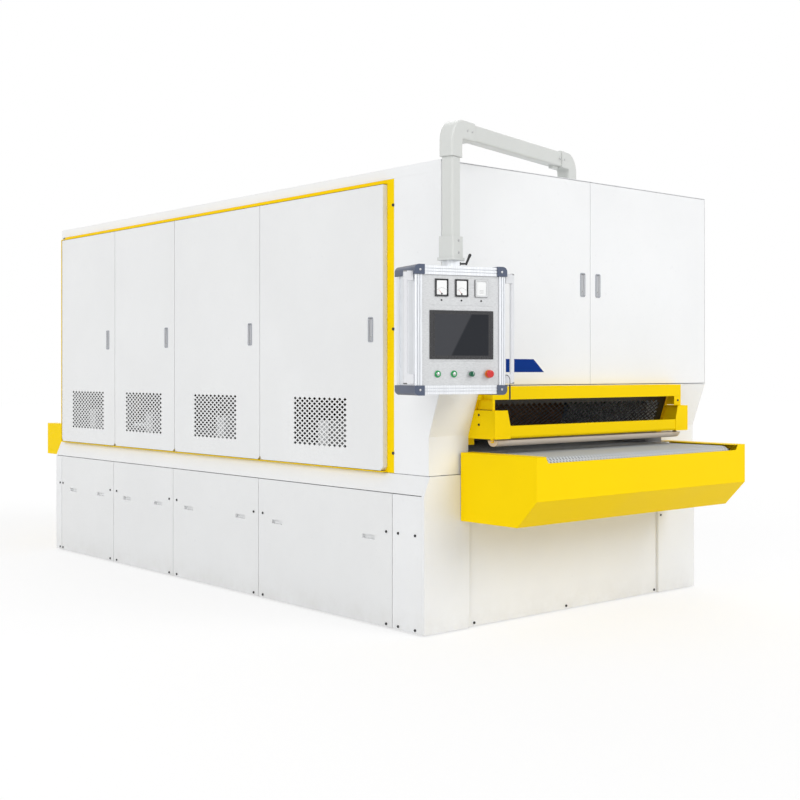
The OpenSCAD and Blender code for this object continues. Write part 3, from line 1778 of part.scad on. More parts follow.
// Beam, end plates and clamp block of one head
module head_beam(y, axle_z, top_z, has_roller) {
  difference() {
    union() {
      for (x = [-plate_x - plate_t, plate_x])
        along_x(x, x + plate_t)
          translate([y, (sand_z + plate_lift + top_z) / 2])
            round_rect(2 * plate_hw, top_z - sand_z - plate_lift, plate_end);
      span(
        [-plate_x - over, upright_right_x], [y - beam_hy, y + beam_hy],
        [head_beam_z, head_beam_z + head_beam_h]
      );
      span(
        [upright_x, -plate_x - plate_t], [y - clamp_w / 2, y + clamp_w / 2],
        [frame_top_z + low_rail_h, frame_top_z + low_rail_h + clamp_h]
      );
    }
    bar_x(drum_axle_r + fit, -base_w, guard_x, y, axle_z);
    if (has_roller)
      bar_x(roller_axle_r + fit, -base_w, guard_x, y, tension_z);
  }
}

module head_beams() {
  color(white) {
    for (i = [0:2]) head_beam(head_y[i], drum_z(i), tension_z + plate_hw, true);
    head_beam(head_y[3], brush_z, head_beam_z + head_beam_h, false);
  }
}

module main_motors() {
  axle_zs = [drum_z(0), drum_z(1), drum_z(2), brush_z];
  color(panel_blue)
    for (i = [0:3]) {
      rise = motor_z - axle_zs[i];
      lean = atan2(motor_off[i], rise);
      motor_y = head_y[i] + motor_off[i];
      along_x(guard_x, guard_x + guard_t)
        translate([head_y[i], axle_zs[i]]) rotate(-lean)
          loop_outline(pulley_cover_r, pulley_cover_r, norm([motor_off[i], rise]));
      bar_x(motor_r, guard_x - motor_l, guard_x, motor_y, motor_z);
      span(
        [guard_x + guard_t - over, upright_right_x],
        [motor_y - beam_hy, motor_y + beam_hy], [motor_z - beam_hy, motor_z + beam_hy]
      );
    }
}

base_frame();
base_casings();
base_covers();
cover_bolts();
screw_jacks();
front_corner_left();
right_side_wall();
roof_panel();
rear_wall();
side_door_frame();
head_frame();
dust_outlets();
infeed_hood();
guard_frame();
guard_mesh();
arm_pedestal();
head_beams();
abrasive_belts();
main_motors();
side_door_1();
side_door_2();
side_door_3();
side_door_4();
side_latch_1();
side_latch_2();
side_latch_3();
side_latch_4();
front_door_left();
front_door_right();
front_latch_left();
front_latch_right();
safety_bar();
support_arm();
drop_tube();
panel_case();
panel_corners();
panel_fascia();
panel_screen();
panel_meters();
panel_handles();
pen_cord();
touch_pen();
green_button_1();
green_button_2();
selector_switch();
e_stop_button();
table_bed();
infeed_apron();
outfeed_apron();
lift_screws();
conveyor_belt();
nose_roller();
drive_roller();
contact_drum_1();
contact_drum_2();
contact_drum_3();
tension_roller_1();
tension_roller_2();
tension_roller_3();
brush_roller();
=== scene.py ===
import math

import bmesh
import bpy
from mathutils import Matrix, Vector


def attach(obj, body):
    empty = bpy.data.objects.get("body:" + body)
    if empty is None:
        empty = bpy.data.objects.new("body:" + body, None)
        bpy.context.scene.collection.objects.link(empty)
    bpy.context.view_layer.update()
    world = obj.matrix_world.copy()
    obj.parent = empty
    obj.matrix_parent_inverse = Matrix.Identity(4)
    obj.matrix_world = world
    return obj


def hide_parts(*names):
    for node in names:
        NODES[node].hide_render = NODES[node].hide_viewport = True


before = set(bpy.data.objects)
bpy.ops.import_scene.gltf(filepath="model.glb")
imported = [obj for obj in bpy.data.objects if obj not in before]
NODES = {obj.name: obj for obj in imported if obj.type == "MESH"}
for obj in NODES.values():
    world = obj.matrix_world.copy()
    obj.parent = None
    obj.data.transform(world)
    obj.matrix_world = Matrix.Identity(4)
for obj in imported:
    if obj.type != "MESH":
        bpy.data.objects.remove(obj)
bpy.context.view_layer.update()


# Sizes and places are in metres, in the frame of the CAD model

# Camera, solved from the long edges of the cabinet and the base

CAMERA_PLACE = (-5.281, -6.684, 1.331)
VIEW_X, VIEW_Y = 0.6544, 0.7562
SENSOR_WIDTH = 36
LENS = 56.04
LENS_SHIFT = -0.036
FAR_CLIP = 200


def make_camera():
    data = bpy.data.cameras.new("camera")
    camera = bpy.data.objects.new("camera", data)
    bpy.context.scene.collection.objects.link(camera)
    camera.location = CAMERA_PLACE
    camera.rotation_euler = (math.radians(90), 0, -math.atan2(VIEW_X, VIEW_Y))
    data.sensor_width = SENSOR_WIDTH
    data.lens = LENS
    data.shift_y = LENS_SHIFT
    data.clip_end = FAR_CLIP
    bpy.context.scene.camera = camera


make_camera()


# Node helpers for materials

class Nodes:
    SOCKETS = {
        "color": "Base Color", "rough": "Roughness", "metal": "Metallic",
        "level": "Specular IOR Level", "coat": "Coat Weight", "coat_rough": "Coat Roughness",
        "sheen": "Sheen Weight",
    }

    def __init__(self, name):
        self.material = bpy.data.materials.new(name)
        self.material.use_nodes = True
        self.tree = self.material.node_tree
        self.shader = self.tree.nodes["Principled BSDF"]
        self.out = self.tree.nodes["Material Output"]

    def add(self, kind, **values):
        node = self.tree.nodes.new(kind)
        for key, value in values.items():
            setattr(node, key, value)
        return node

    def link(self, source, target):
        self.tree.links.new(source, target)

    def feed(self, socket, value):
        if isinstance(value, tuple):
            socket.default_value = (*value[:3], 1)
        elif isinstance(value, (int, float)):
            socket.default_value = value
        else:
            self.link(value, socket)

    def coords(self, scale=(1, 1, 1), turn=(0, 0, 0)):
        source = self.add("ShaderNodeTexCoord").outputs["Object"]
        mapping = self.add("ShaderNodeMapping")
        mapping.inputs["Scale"].default_value = scale
        mapping.inputs["Rotation"].default_value = turn
        self.link(source, mapping.inputs["Vector"])
        return mapping.outputs["Vector"]

    def axes(self):
        split = self.add("ShaderNodeSeparateXYZ")
        self.link(self.coords(), split.inputs[0])
        return split.outputs

    def noise(self, scale, detail=3.0, rough=0.55, stretch=(1, 1, 1)):
        node = self.add("ShaderNodeTexNoise")
        node.inputs["Scale"].default_value = scale
        node.inputs["Detail"].default_value = detail
        node.inputs["Roughness"].default_value = rough
        self.link(self.coords(stretch), node.inputs["Vector"])
        return node.outputs["Fac"]

    def bands(self, scale, turn):
        node = self.add("ShaderNodeTexWave", wave_type="BANDS", bands_direction="X")
        node.inputs["Scale"].default_value = scale
        node.inputs["Distortion"].default_value = 0.0
        self.link(self.coords(turn=(0, 0, math.radians(turn))), node.inputs["Vector"])
        return node.outputs["Fac"]

    def span(self, value, lo, hi, low=0.0, high=1.0):
        node = self.add("ShaderNodeMapRange")
        node.inputs["From Min"].default_value = lo
        node.inputs["From Max"].default_value = hi
        node.inputs["To Min"].default_value = low
        node.inputs["To Max"].default_value = high
        self.link(value, node.inputs["Value"])
        return node.outputs["Result"]

    def mix(self, share, first, second):
        node = self.add("ShaderNodeMix", data_type="RGBA")
        for number, value in ((0, share), (6, first), (7, second)):
            self.feed(node.inputs[number], value)
        return node.outputs[2]

    def maths(self, operation, first, second):
        node = self.add("ShaderNodeMath", operation=operation)
        self.feed(node.inputs[0], first)
        self.feed(node.inputs[1], second)
        return node.outputs[0]

    def bump(self, height, strength, distance, edge=0.0):
        node = self.add("ShaderNodeBump")
        node.inputs["Strength"].default_value = strength
        node.inputs["Distance"].default_value = distance
        self.link(height, node.inputs["Height"])
        if edge:
            bevel = self.add("ShaderNodeBevel", samples=4)
            bevel.inputs["Radius"].default_value = edge
            self.link(bevel.outputs[0], node.inputs["Normal"])
        self.link(node.outputs[0], self.shader.inputs["Normal"])

    def set(self, **values):
        for key, value in values.items():
            self.feed(self.shader.inputs[self.SOCKETS[key]], value)


def shade(color, factor):
    return tuple(max(0.0, min(1.0, part * factor)) for part in color[:3])


# Kinds of material

GRIME = (0.56, 0.54, 0.5)
GRIME_HEIGHT = 0.16
BELT_DUST = (0.66, 0.6, 0.5)
WOOD_DUST = (0.62, 0.5, 0.36)


def painted(name, color, rough=0.42, peel=0.06, dust=0.035, coat=0.0, edge=0.0016, grimy=False,
            level=0.45):
    nodes = Nodes(name)
    cloud = nodes.noise(1.7, detail=4.0, rough=0.6)
    fine = nodes.noise(46.0, detail=2.0, rough=0.5)
    orange_peel = nodes.noise(620.0, detail=2.0, rough=0.5)
    tint = nodes.mix(nodes.span(cloud, 0.35, 0.68), shade(color, 1.0 - dust), color)
    tint = nodes.mix(nodes.span(fine, 0.66, 0.78), tint, shade(color, 0.95))
    if grimy:
        near_floor = nodes.span(nodes.axes()[2], 0.0, GRIME_HEIGHT, 1.0, 0.0)
        patches = nodes.span(nodes.noise(9.0, detail=5.0, rough=0.65), 0.35, 0.75)
        grime = nodes.maths("MULTIPLY", near_floor, patches)
        tint = nodes.mix(nodes.maths("MULTIPLY", grime, 0.32), tint, GRIME)
    nodes.set(color=tint, rough=nodes.span(cloud, 0.3, 0.7, rough - 0.05, rough + 0.07))
    nodes.set(coat=coat, coat_rough=0.18, level=level)
    nodes.bump(orange_peel, peel, 0.0006, edge)
    return nodes.material


def brushed(name, color, rough=0.34, along=0, metal=1.0, edge=0.0008, grain=0.25):
    nodes = Nodes(name)
    stretch = [260.0, 260.0, 260.0]
    stretch[along] = 3.0
    lines = nodes.noise(1.0, detail=3.0, rough=0.6, stretch=tuple(stretch))
    cloud = nodes.noise(6.0, detail=3.0, rough=0.6)
    tint = nodes.mix(nodes.span(lines, 0.3, 0.7), shade(color, 0.86), shade(color, 1.06))
    stain = nodes.maths("MULTIPLY", nodes.span(cloud, 0.5, 0.8), 0.25)
    tint = nodes.mix(stain, tint, shade(color, 0.8))
    nodes.set(color=tint, rough=nodes.span(lines, 0.2, 0.8, rough - 0.07, rough + 0.09))
    nodes.set(metal=metal)
    nodes.bump(lines, grain, 0.0004, edge)
    return nodes.material


def plastic(name, color, rough=0.35, coat=0.0, grain=0.12, scale=900.0, edge=0.0006):
    nodes = Nodes(name)
    fine = nodes.noise(scale, detail=2.0, rough=0.5)
    cloud = nodes.noise(22.0, detail=3.0, rough=0.55)
    tint = nodes.mix(nodes.span(cloud, 0.35, 0.7), shade(color, 0.93), color)
    nodes.set(color=tint, rough=nodes.span(cloud, 0.3, 0.7, rough - 0.04, rough + 0.06))
    nodes.set(coat=coat, coat_rough=0.08)
    nodes.bump(fine, grain, 0.0003, edge)
    return nodes.material


def cast(name, color):
    nodes = Nodes(name)
    grit = nodes.noise(180.0, detail=4.0, rough=0.7)
    cloud = nodes.noise(8.0, detail=4.0, rough=0.6)
    tint = nodes.mix(nodes.span(cloud, 0.3, 0.7), shade(color, 0.8), shade(color, 1.15))
    nodes.set(color=tint, rough=nodes.span(grit, 0.3, 0.7, 0.48, 0.68), metal=0.35)
    nodes.bump(grit, 0.4, 0.001, 0.0012)
    return nodes.material


def belt_rubber(name, color):
    nodes = Nodes(name)
    lattice = nodes.maths("MAXIMUM", nodes.bands(15.7, 32), nodes.bands(15.7, -32))
    groove_depth_and_shade = nodes.span(lattice, 0.45, 0.85)
    cloud = nodes.noise(3.2, detail=5.0, rough=0.65)
    # Grooves painted darker and ridges lighter: painted shade and highlight of the belt's
    # relief, beside its real dust
    tint = nodes.mix(groove_depth_and_shade, shade(color, 0.4), shade(color, 1.12))
    dust = nodes.maths("MULTIPLY", nodes.span(cloud, 0.5, 0.75), 0.3)
    tint = nodes.mix(dust, tint, BELT_DUST)
    nodes.set(color=tint, rough=nodes.span(cloud, 0.3, 0.7, 0.62, 0.78), level=0.35)
    nodes.bump(groove_depth_and_shade, 0.5, 0.0022)
    return nodes.material


def abrasive(name, color):
    nodes = Nodes(name)
    grit = nodes.noise(1400.0, detail=2.0, rough=0.8)
    cloud = nodes.noise(2.5, detail=4.0, rough=0.6)
    tint = nodes.mix(nodes.span(grit, 0.4, 0.62), shade(color, 0.6), shade(color, 1.3))
    dust = nodes.maths("MULTIPLY", nodes.span(cloud, 0.5, 0.75), 0.4)
    nodes.set(color=nodes.mix(dust, tint, WOOD_DUST), rough=0.85, level=0.25)
    nodes.bump(grit, 0.6, 0.0006)
    return nodes.material


def bristle(name, color):
    nodes = Nodes(name)
    tuft = nodes.noise(1.0, detail=3.0, rough=0.7, stretch=(700.0, 700.0, 700.0))
    rows = nodes.noise(1.0, detail=2.0, rough=0.5, stretch=(60.0, 60.0, 60.0))
    tint = nodes.mix(nodes.span(tuft, 0.35, 0.65), shade(color, 0.5), shade(color, 1.2))
    nodes.set(color=tint, rough=0.8, sheen=0.3)
    nodes.bump(nodes.maths("ADD", tuft, rows), 0.7, 0.003)
    return nodes.material


# A slanting line parts the dark half of the glass from its lighter half, a painted reflection
# of the room

REFLECTION_SLOPE = 0.525
REFLECTION_EDGE = -1.995
GLASS_DARK = (0.022, 0.024, 0.029)
GLASS_PAINTED_REFLECTION = (0.054, 0.056, 0.063)


def screen_glass_painted_reflection(name):
    nodes = Nodes(name)
    axes = nodes.axes()
    rise = nodes.maths("MULTIPLY", axes[2], REFLECTION_SLOPE)
    across = nodes.maths("SUBTRACT", axes[0], rise)
    reflection_half = nodes.span(across, REFLECTION_EDGE, REFLECTION_EDGE + 0.01)
    smear = nodes.noise(9.0, detail=4.0, rough=0.65)
    # The lighter half is painted reflection, the dark half is the glass itself
    tint = nodes.mix(reflection_half, GLASS_PAINTED_REFLECTION, GLASS_DARK)
    nodes.set(color=tint, rough=nodes.span(smear, 0.3, 0.75, 0.07, 0.15), level=0.12)
    nodes.bump(smear, 0.02, 0.0005)
    return nodes.material


# Materials

WHITE = (0.86, 0.87, 0.88)
BASE_WHITE = (0.83, 0.84, 0.85)
DOOR_WHITE = (0.8, 0.808, 0.812)
COVER_WHITE = (0.79, 0.798, 0.802)
YELLOW = (0.95, 0.665, 0.0)
CREAM = (0.72, 0.63, 0.54)
ARM_WHITE = (0.64, 0.655, 0.635)
STRIPE_BLUE = (0.001, 0.033, 0.235)
NAVY = (0.075, 0.095, 0.15)

MAT = {
    "white": painted("white_powder_coat", WHITE),
    "base_white": painted("white_powder_coat_base", BASE_WHITE, grimy=True),
    "door": painted("door_powder_coat", DOOR_WHITE, rough=0.45),
    "cover": painted("cover_powder_coat", COVER_WHITE, rough=0.46, grimy=True),
    "yellow": painted("yellow_powder_coat", YELLOW, rough=0.45, dust=0.03, level=0.06),
    "cream": painted("cream_paint", CREAM, rough=0.5, dust=0.07),
    "arm": painted("arm_paint", ARM_WHITE, rough=0.36, coat=0.1, edge=0.003),
    "stripe": painted(
        "blue_paint", STRIPE_BLUE, rough=0.35, peel=0.02, edge=0.0, level=0.06
    ),
    "navy": painted("dark_blue_paint", NAVY, rough=0.38, dust=0.08),
    "motor": painted("motor_paint", (0.06, 0.11, 0.2), rough=0.5, dust=0.1),
    "mesh": painted("mesh_paint", (0.028, 0.028, 0.031), rough=0.5, dust=0.2),
    "black": painted("black_steel", (0.012, 0.012, 0.014), rough=0.45, dust=0.2),
    # The handles are white; this grey colour is painted shade over the whole handle
    "rail": painted("handle_paint_painted_shade", (0.7, 0.71, 0.735), rough=0.3, coat=0.15),
    "case": brushed(
        "case_aluminium", (0.78, 0.8, 0.83), rough=0.42, along=2, metal=0.5, edge=0.0012,
        grain=0.1
    ),
    "fascia": brushed(
        "fascia_aluminium", (0.6, 0.61, 0.62), rough=0.45, metal=0.4, edge=0.001, grain=0.08
    ),
    "bezel": brushed("bezel_metal", (0.42, 0.44, 0.48), rough=0.36, metal=0.7),
    "steel": brushed("brushed_steel", (0.56, 0.565, 0.57), rough=0.32, along=1),
    "roller": brushed("turned_steel", (0.6, 0.605, 0.61), rough=0.26, along=1),
    "duct": brushed("zinc_sheet", (0.58, 0.6, 0.62), rough=0.42, along=2, metal=0.85),
    "latch": brushed("latch_steel", (0.5, 0.51, 0.53), rough=0.36, along=2, metal=0.7),
    "cast": cast("machined_casting", (0.12, 0.125, 0.13)),
    "belt": belt_rubber("belt_rubber", (0.5, 0.525, 0.545)),
    "rubber": plastic(
        "drum_rubber", (0.03, 0.03, 0.032), rough=0.7, grain=0.5, scale=300.0
    ),
    "abrasive": abrasive("abrasive_cloth", (0.3, 0.13, 0.06)),
    "brush": bristle("brush_fibre", (0.6, 0.5, 0.34)),
    "plastic": plastic("black_plastic", (0.014, 0.014, 0.016), rough=0.4),
    "meter": plastic("meter_housing", (0.02, 0.02, 0.023), rough=0.25, coat=0.3),
    "dial": plastic("dial_face", (0.86, 0.87, 0.87), rough=0.4, coat=0.3, grain=0.02),
    "green": plastic("green_plastic", (0.01, 0.33, 0.09), rough=0.25, coat=0.4),
    "dark_green": plastic("dark_green_plastic", (0.01, 0.12, 0.06), rough=0.3, coat=0.3),
    "red": plastic("red_plastic", (0.62, 0.012, 0.01), rough=0.25, coat=0.4),
    "orange": plastic("orange_plastic", (0.75, 0.2, 0.015), rough=0.35, coat=0.2),
    # Screen glass with a painted reflection on one half
    "screen": screen_glass_painted_reflection("screen_glass_painted_reflection"),
}

LOOKS = {
    "white": [
        "front_corner_left", "right_side_wall", "roof_panel", "rear_wall", "head_frame",
        "head_beams", "front_door_left", "front_door_right",
    ],
    "base_white": ["base_frame", "base_casings"],
    "cover": ["base_covers"],
    "door": ["side_door_1", "side_door_2", "side_door_3", "side_door_4"],
    "yellow": [
        "side_door_frame", "infeed_hood", "guard_frame", "infeed_apron", "outfeed_apron",
    ],
    "cream": ["safety_bar"],
    "arm": ["arm_pedestal", "support_arm", "drop_tube"],
    "navy": ["panel_corners"],
    "motor": ["main_motors"],
    "mesh": ["guard_mesh"],
    "black": ["cover_bolts"],
    "rail": ["panel_handles"],
    "case": ["panel_case"],
    "fascia": ["panel_fascia"],
    "steel": ["table_bed"],
    "roller": [
        "lift_screws", "nose_roller", "drive_roller", "tension_roller_1", "tension_roller_2",
        "tension_roller_3",
    ],
    "duct": ["dust_outlets"],
    "latch": [
        "side_latch_1", "side_latch_2", "side_latch_3", "side_latch_4", "front_latch_left",
        "front_latch_right",
    ],
    "cast": ["screw_jacks"],
    "belt": ["conveyor_belt"],
    "rubber": ["contact_drum_1", "contact_drum_2", "contact_drum_3"],
    "abrasive": ["abrasive_belts"],
    "brush": ["brush_roller"],
    "plastic": ["pen_cord", "touch_pen"],
    "meter": ["panel_screen", "panel_meters"],
    "green": ["green_button_1", "green_button_2"],
    "dark_green": ["selector_switch"],
    "red": ["e_stop_button"],
}

for look, names in LOOKS.items():
    for name in names:
        materials = NODES[name].data.materials
        materials.clear()
        materials.append(MAT[look])


# Mesh helpers: outlines

def arc(cx, cy, radius, start, end, steps):
    points = []
    for k in range(steps + 1):
        angle = math.radians(start + (end - start) * k / steps)
        points.append((cx + radius * math.cos(angle), cy + radius * math.sin(angle)))
    return points


def box_outline(u0, u1, v0, v1):
    return [(u0, v0), (u1, v0), (u1, v1), (u0, v1)]


def rect(width, height, corner=0.0, steps=5):
    if not corner:
        return box_outline(-width / 2, width / 2, -height / 2, height / 2)
    u = width / 2 - corner
    v = height / 2 - corner
    points = []
    for cx, cy, start in ((u, -v, -90), (u, v, 0), (-u, v, 90), (-u, -v, 180)):
        points += arc(cx, cy, corner, start, start + 90, steps)
    return points


def screw_profile(radius, height):
    return [
        (0, height * 0.55), (radius * 0.42, height * 0.55), (radius * 0.5, height * 0.98),
        (radius * 0.78, height * 0.98), (radius * 0.96, height * 0.72),
        (radius, height * 0.3), (radius, 0), (0, 0)
    ]


# Mesh helpers: a flat outline stands in X and Z with its thickness along Y, or in Y and Z
# with its thickness along X; a sheet is the pair of heights of its two faces

XZ_PLANE = Matrix(((1, 0, 0, 0), (0, 0, 1, 0), (0, 1, 0, 0), (0, 0, 0, 1)))
YZ_PLANE = Matrix(((0, 0, 1, 0), (1, 0, 0, 0), (0, 1, 0, 0), (0, 0, 0, 1)))


def facing(point, normal, up=(0, 0, 1)):
    out = Vector(normal).normalized()
    right = Vector(up).cross(out).normalized()
    matrix = Matrix((right, out.cross(right), out)).transposed().to_4x4()
    matrix.translation = Vector(point)
    return matrix


def add_prism(bm, outline, sheet, matrix):
    low, high = sheet
    lower = [bm.verts.new((u, v, low)) for u, v in outline]
    face = bm.faces.new(lower)
    made = bmesh.ops.extrude_face_region(bm, geom=[face])
    upper = [item for item in made["geom"] if isinstance(item, bmesh.types.BMVert)]
    bmesh.ops.translate(bm, verts=upper, vec=(0, 0, high - low))
    bmesh.ops.transform(bm, matrix=matrix, verts=lower + upper)


def add_ring(bm, outer, inner, sheet, matrix):
    low, high = sheet
    loops = []
    for outline, z in ((outer, low), (outer, high), (inner, high), (inner, low)):
        loops.append([bm.verts.new((u, v, z)) for u, v in outline])
    count = len(outer)
    for first, second in zip(loops, loops[1:] + loops[:1]):
        for k in range(count):
            after = (k + 1) % count
            bm.faces.new((first[k], first[after], second[after], second[k]))
    bmesh.ops.transform(bm, matrix=matrix, verts=sum(loops, []))


def add_lathe(bm, profile, matrix, count=32):
    loops = []
    for radius, z in profile:
        if radius:
            turn = 2 * math.pi / count
            loops.append([
                bm.verts.new((radius * math.cos(turn * k), radius * math.sin(turn * k), z))
                for k in range(count)
            ])
        else:
            loops.append([bm.verts.new((0, 0, z))])
    for first, second in zip(loops, loops[1:]):
        for k in range(count):
            after = (k + 1) % count
            if len(first) == 1 and len(second) > 1:
                bm.faces.new((first[0], second[k], second[after]))
            elif len(second) == 1 and len(first) > 1:
                bm.faces.new((first[k], first[after], second[0]))
            elif len(first) > 1:
                bm.faces.new((first[k], first[after], second[after], second[k]))
    bmesh.ops.transform(bm, matrix=matrix, verts=sum(loops, []))


# Mesh helpers: pieces

SMOOTH_BELOW = math.radians(32)


def piece(name, bm, body, slot, look, smooth=False):
    bmesh.ops.recalc_face_normals(bm, faces=bm.faces)
    mesh = bpy.data.meshes.new(name)
    bm.to_mesh(mesh)
    bm.free()
    obj = bpy.data.objects.new(name, mesh)
    bpy.context.scene.collection.objects.link(obj)
    mesh.materials.append(MAT[look])
    if smooth:
        for face in mesh.polygons:
            face.use_smooth = True
        mesh.set_sharp_from_angle(angle=SMOOTH_BELOW)
    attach(obj, body)


def prism_piece(name, outline, sheet, matrix, *belongs, smooth=False):
    bm = bmesh.new()
    add_prism(bm, outline, sheet, matrix)
    piece(name, bm, *belongs, smooth=smooth)


def lathe_piece(name, profile, matrix, count, *belongs):
    bm = bmesh.new()
    add_lathe(bm, profile, matrix, count)
    piece(name, bm, *belongs, smooth=True)


def screws(name, places, normal, size, *belongs, up=(0, 0, 1)):
    bm = bmesh.new()
    for place in places:
        add_lathe(bm, screw_profile(*size), facing(place, normal, up), 14)
    piece(name, bm, *belongs, smooth=True)


# Latches: the rim of each tray in its door, and the key plug in its lever, with a black sheet
# on the plug as painted shade in its key slot

BAY_LINES = (-1.730, -0.603, 0.367, 1.168, 1.986)
LATCH_INSET = 0.102
SIDE_LATCH_X = -1.112
SIDE_LATCH_Z = 1.550
FRONT_LATCH_X = {"left": -0.014, "right": 0.114}
FRONT_LATCH_Y = -2.142
FRONT_LATCH_Z = 1.808
RIM_OUTSIDE = rect(0.040, 0.132, 0.009)
RIM_INSIDE = rect(0.0285, 0.1205, 0.004)
LEVER_DEPTH = 0.0043
KEY_DROP = 0.036
KEY_PROFILE = [(0, 0.0016), (0.0062, 0.0016), (0.0072, 0.0008), (0.0074, 0), (0, 0)]
KEY_SLOT_SHADE = rect(0.0022, 0.0075)
RIM_SHEET = (-0.0018, 0.0012)
SLOT_SHADE_SHEET = (0.0014, 0.0021)


def make_latch(tag, place, normal, door, lever):
    tray = facing(place, normal)
    bm = bmesh.new()
    add_ring(bm, RIM_OUTSIDE, RIM_INSIDE, RIM_SHEET, tray)
    piece("latch_rim_" + tag, bm, door, "latch_metal", "bezel", smooth=True)
    key = tray @ Matrix.Translation((0, -KEY_DROP, -LEVER_DEPTH))
    lathe_piece("latch_key_" + tag, KEY_PROFILE, key, 24, lever, "latch_metal", "steel")
    # Black sheet on the key plug: painted shade where the slot is hollow
    prism_piece(
        "latch_slot_shade_" + tag, KEY_SLOT_SHADE, SLOT_SHADE_SHEET, key, lever, "black_plastic", "plastic"
    )


def make_latches():
    for number, line in enumerate(BAY_LINES[:4], 1):
        make_latch(
            "side_%d" % number, (SIDE_LATCH_X, line + LATCH_INSET, SIDE_LATCH_Z), (-1, 0, 0),
            "side_door_%d" % number, "side_latch_%d" % number
        )
    for side, x in FRONT_LATCH_X.items():
        make_latch(
            "front_" + side, (x, FRONT_LATCH_Y, FRONT_LATCH_Z), (0, -1, 0),
            "front_door_" + side, "front_latch_" + side
        )


make_latches()


# Arm and control panel: the arm's axis, its drop tube, and the panel's own axes about the tube

PIVOT = Vector((0.002, -2.010, 0))
ARM_LENGTH = 1.211
ARM_TURN = math.radians(194.33)
ARM_ALONG = Vector((math.cos(ARM_TURN), math.sin(ARM_TURN), 0))
ARM_Z = 2.5
TUBE = PIVOT + ARM_ALONG * ARM_LENGTH

PANEL = Matrix.Translation(TUBE) @ Matrix.Rotation(math.radians(-17), 4, "Z")
PANEL_OUT = PANEL.to_3x3() @ Vector((0, -1, 0))
PANEL_SIDE = 0.240
PANEL_LOW = 1.222
PANEL_HIGH = PANEL_LOW + 0.605
PANEL_FRONT = -0.111
FASCIA = PANEL_FRONT + 0.006


def on_panel(x, y, z):
    return PANEL @ Vector((x, y, z))


def panel_spot(x, y, z):
    return facing(on_panel(x, y, z), PANEL_OUT)


# Display: black border and glass, set a little back in the front of their housing

SCREEN_X = 0.005
SCREEN_Z = PANEL_LOW + 0.281
HOUSING_PROUD = 0.004
GLASS_RECESS = 0.001
GLASS = FASCIA - HOUSING_PROUD + GLASS_RECESS
BORDER_SHEET = (0.0002, 0.0006)
DISPLAY_SHEET = (0.0005, 0.0009)


def make_screen():
    spot = panel_spot(SCREEN_X, GLASS, SCREEN_Z)
    belongs = ("panel", "screen_black")
    border = rect(0.2995, 0.2105, 0.003)
    display = rect(0.284, 0.196, 0.002)
    prism_piece("screen_border", border, BORDER_SHEET, spot, *belongs, "meter")
    prism_piece("screen_display", display, DISPLAY_SHEET, spot, *belongs, "screen")


make_screen()


# Meters: two with a scale and a needle, and a counter with three lines

METER_X = (-0.101, 0.004, 0.109)
METER_Z = PANEL_LOW + 0.503
METER_FACE = PANEL_FRONT + 0.003
HUB_DROP = 0.029
SCALE_MARKS = 11
SCALE_START = 140
SCALE_STEP = 10
NEEDLE_TURN = 130
ZERO_DROP = 0.059
MARK_FROM = 0.027
MARK_TO = 0.030
LONG_MARK_TO = 0.0315
MARK_WIDTH = 0.0007
NEEDLE = [(0.004, -0.0006), (0.026, -0.0003), (0.026, 0.0003), (0.004, 0.0006)]
HUB_PROFILE = [(0, 0.0022), (0.0035, 0.0021), (0.0045, 0.0002)]
COUNTER_LINES = (0.022, 0.016, 0.010)
FACE_SHEET = (0.0002, 0.0007)
MARK_SHEET = (0.0006, 0.001)
LINE_SHEET = (0.0007, 0.0011)
NEEDLE_SHEET = (0.0009, 0.0013)
COUNTER_SHEET = (0.0002, 0.0035)


def add_scale(marks, needles, hub):
    for k in range(SCALE_MARKS):
        end = MARK_TO if k % 5 else LONG_MARK_TO
        mark = rect(end - MARK_FROM, MARK_WIDTH)
        turn = Matrix.Rotation(math.radians(SCALE_START - SCALE_STEP * k), 4, "Z")
        middle = Matrix.Translation(((MARK_FROM + end) / 2, 0, 0))
        add_prism(marks, mark, MARK_SHEET, hub @ turn @ middle)
    turn = Matrix.Rotation(math.radians(NEEDLE_TURN), 4, "Z")
    add_prism(needles, NEEDLE, NEEDLE_SHEET, hub @ turn)
    add_lathe(marks, HUB_PROFILE, hub, 20)


def make_meters():
    faces = bmesh.new()
    marks = bmesh.new()
    needles = bmesh.new()
    border = bmesh.new()
    face = rect(0.052, 0.067, 0.004)
    spots = [panel_spot(x, METER_FACE, METER_Z) for x in METER_X]
    for spot in spots:
        add_prism(faces, face, FACE_SHEET, spot)
    for spot in spots[:2]:
        add_scale(marks, needles, spot @ Matrix.Translation((0, -HUB_DROP, 0)))
    counter = spots[2]
    add_ring(border, rect(0.0672, 0.0822, 0.004), face, COUNTER_SHEET, counter)
    for drop in COUNTER_LINES:
        line = counter @ Matrix.Translation((0, -drop, 0))
        add_prism(marks, rect(0.020, 0.0008), LINE_SHEET, line)
    piece("dial_faces", faces, "panel", "handle_white", "dial")
    piece("dial_marks", marks, "panel", "black_plastic", "plastic")
    piece("dial_needles", needles, "panel", "red_plastic", "red")
    piece("counter_border", border, "panel", "fascia_aluminium", "fascia")

    bm = bmesh.new()
    for x in METER_X:
        spot = panel_spot(x, FASCIA, METER_Z - ZERO_DROP)
        add_lathe(bm, screw_profile(0.0045, 0.0022), spot, 20)
    piece("zero_screws", bm, "panel", "black_plastic", "plastic", smooth=True)


make_meters()


# Buttons, left to right: two green ones, the selector and the stop button

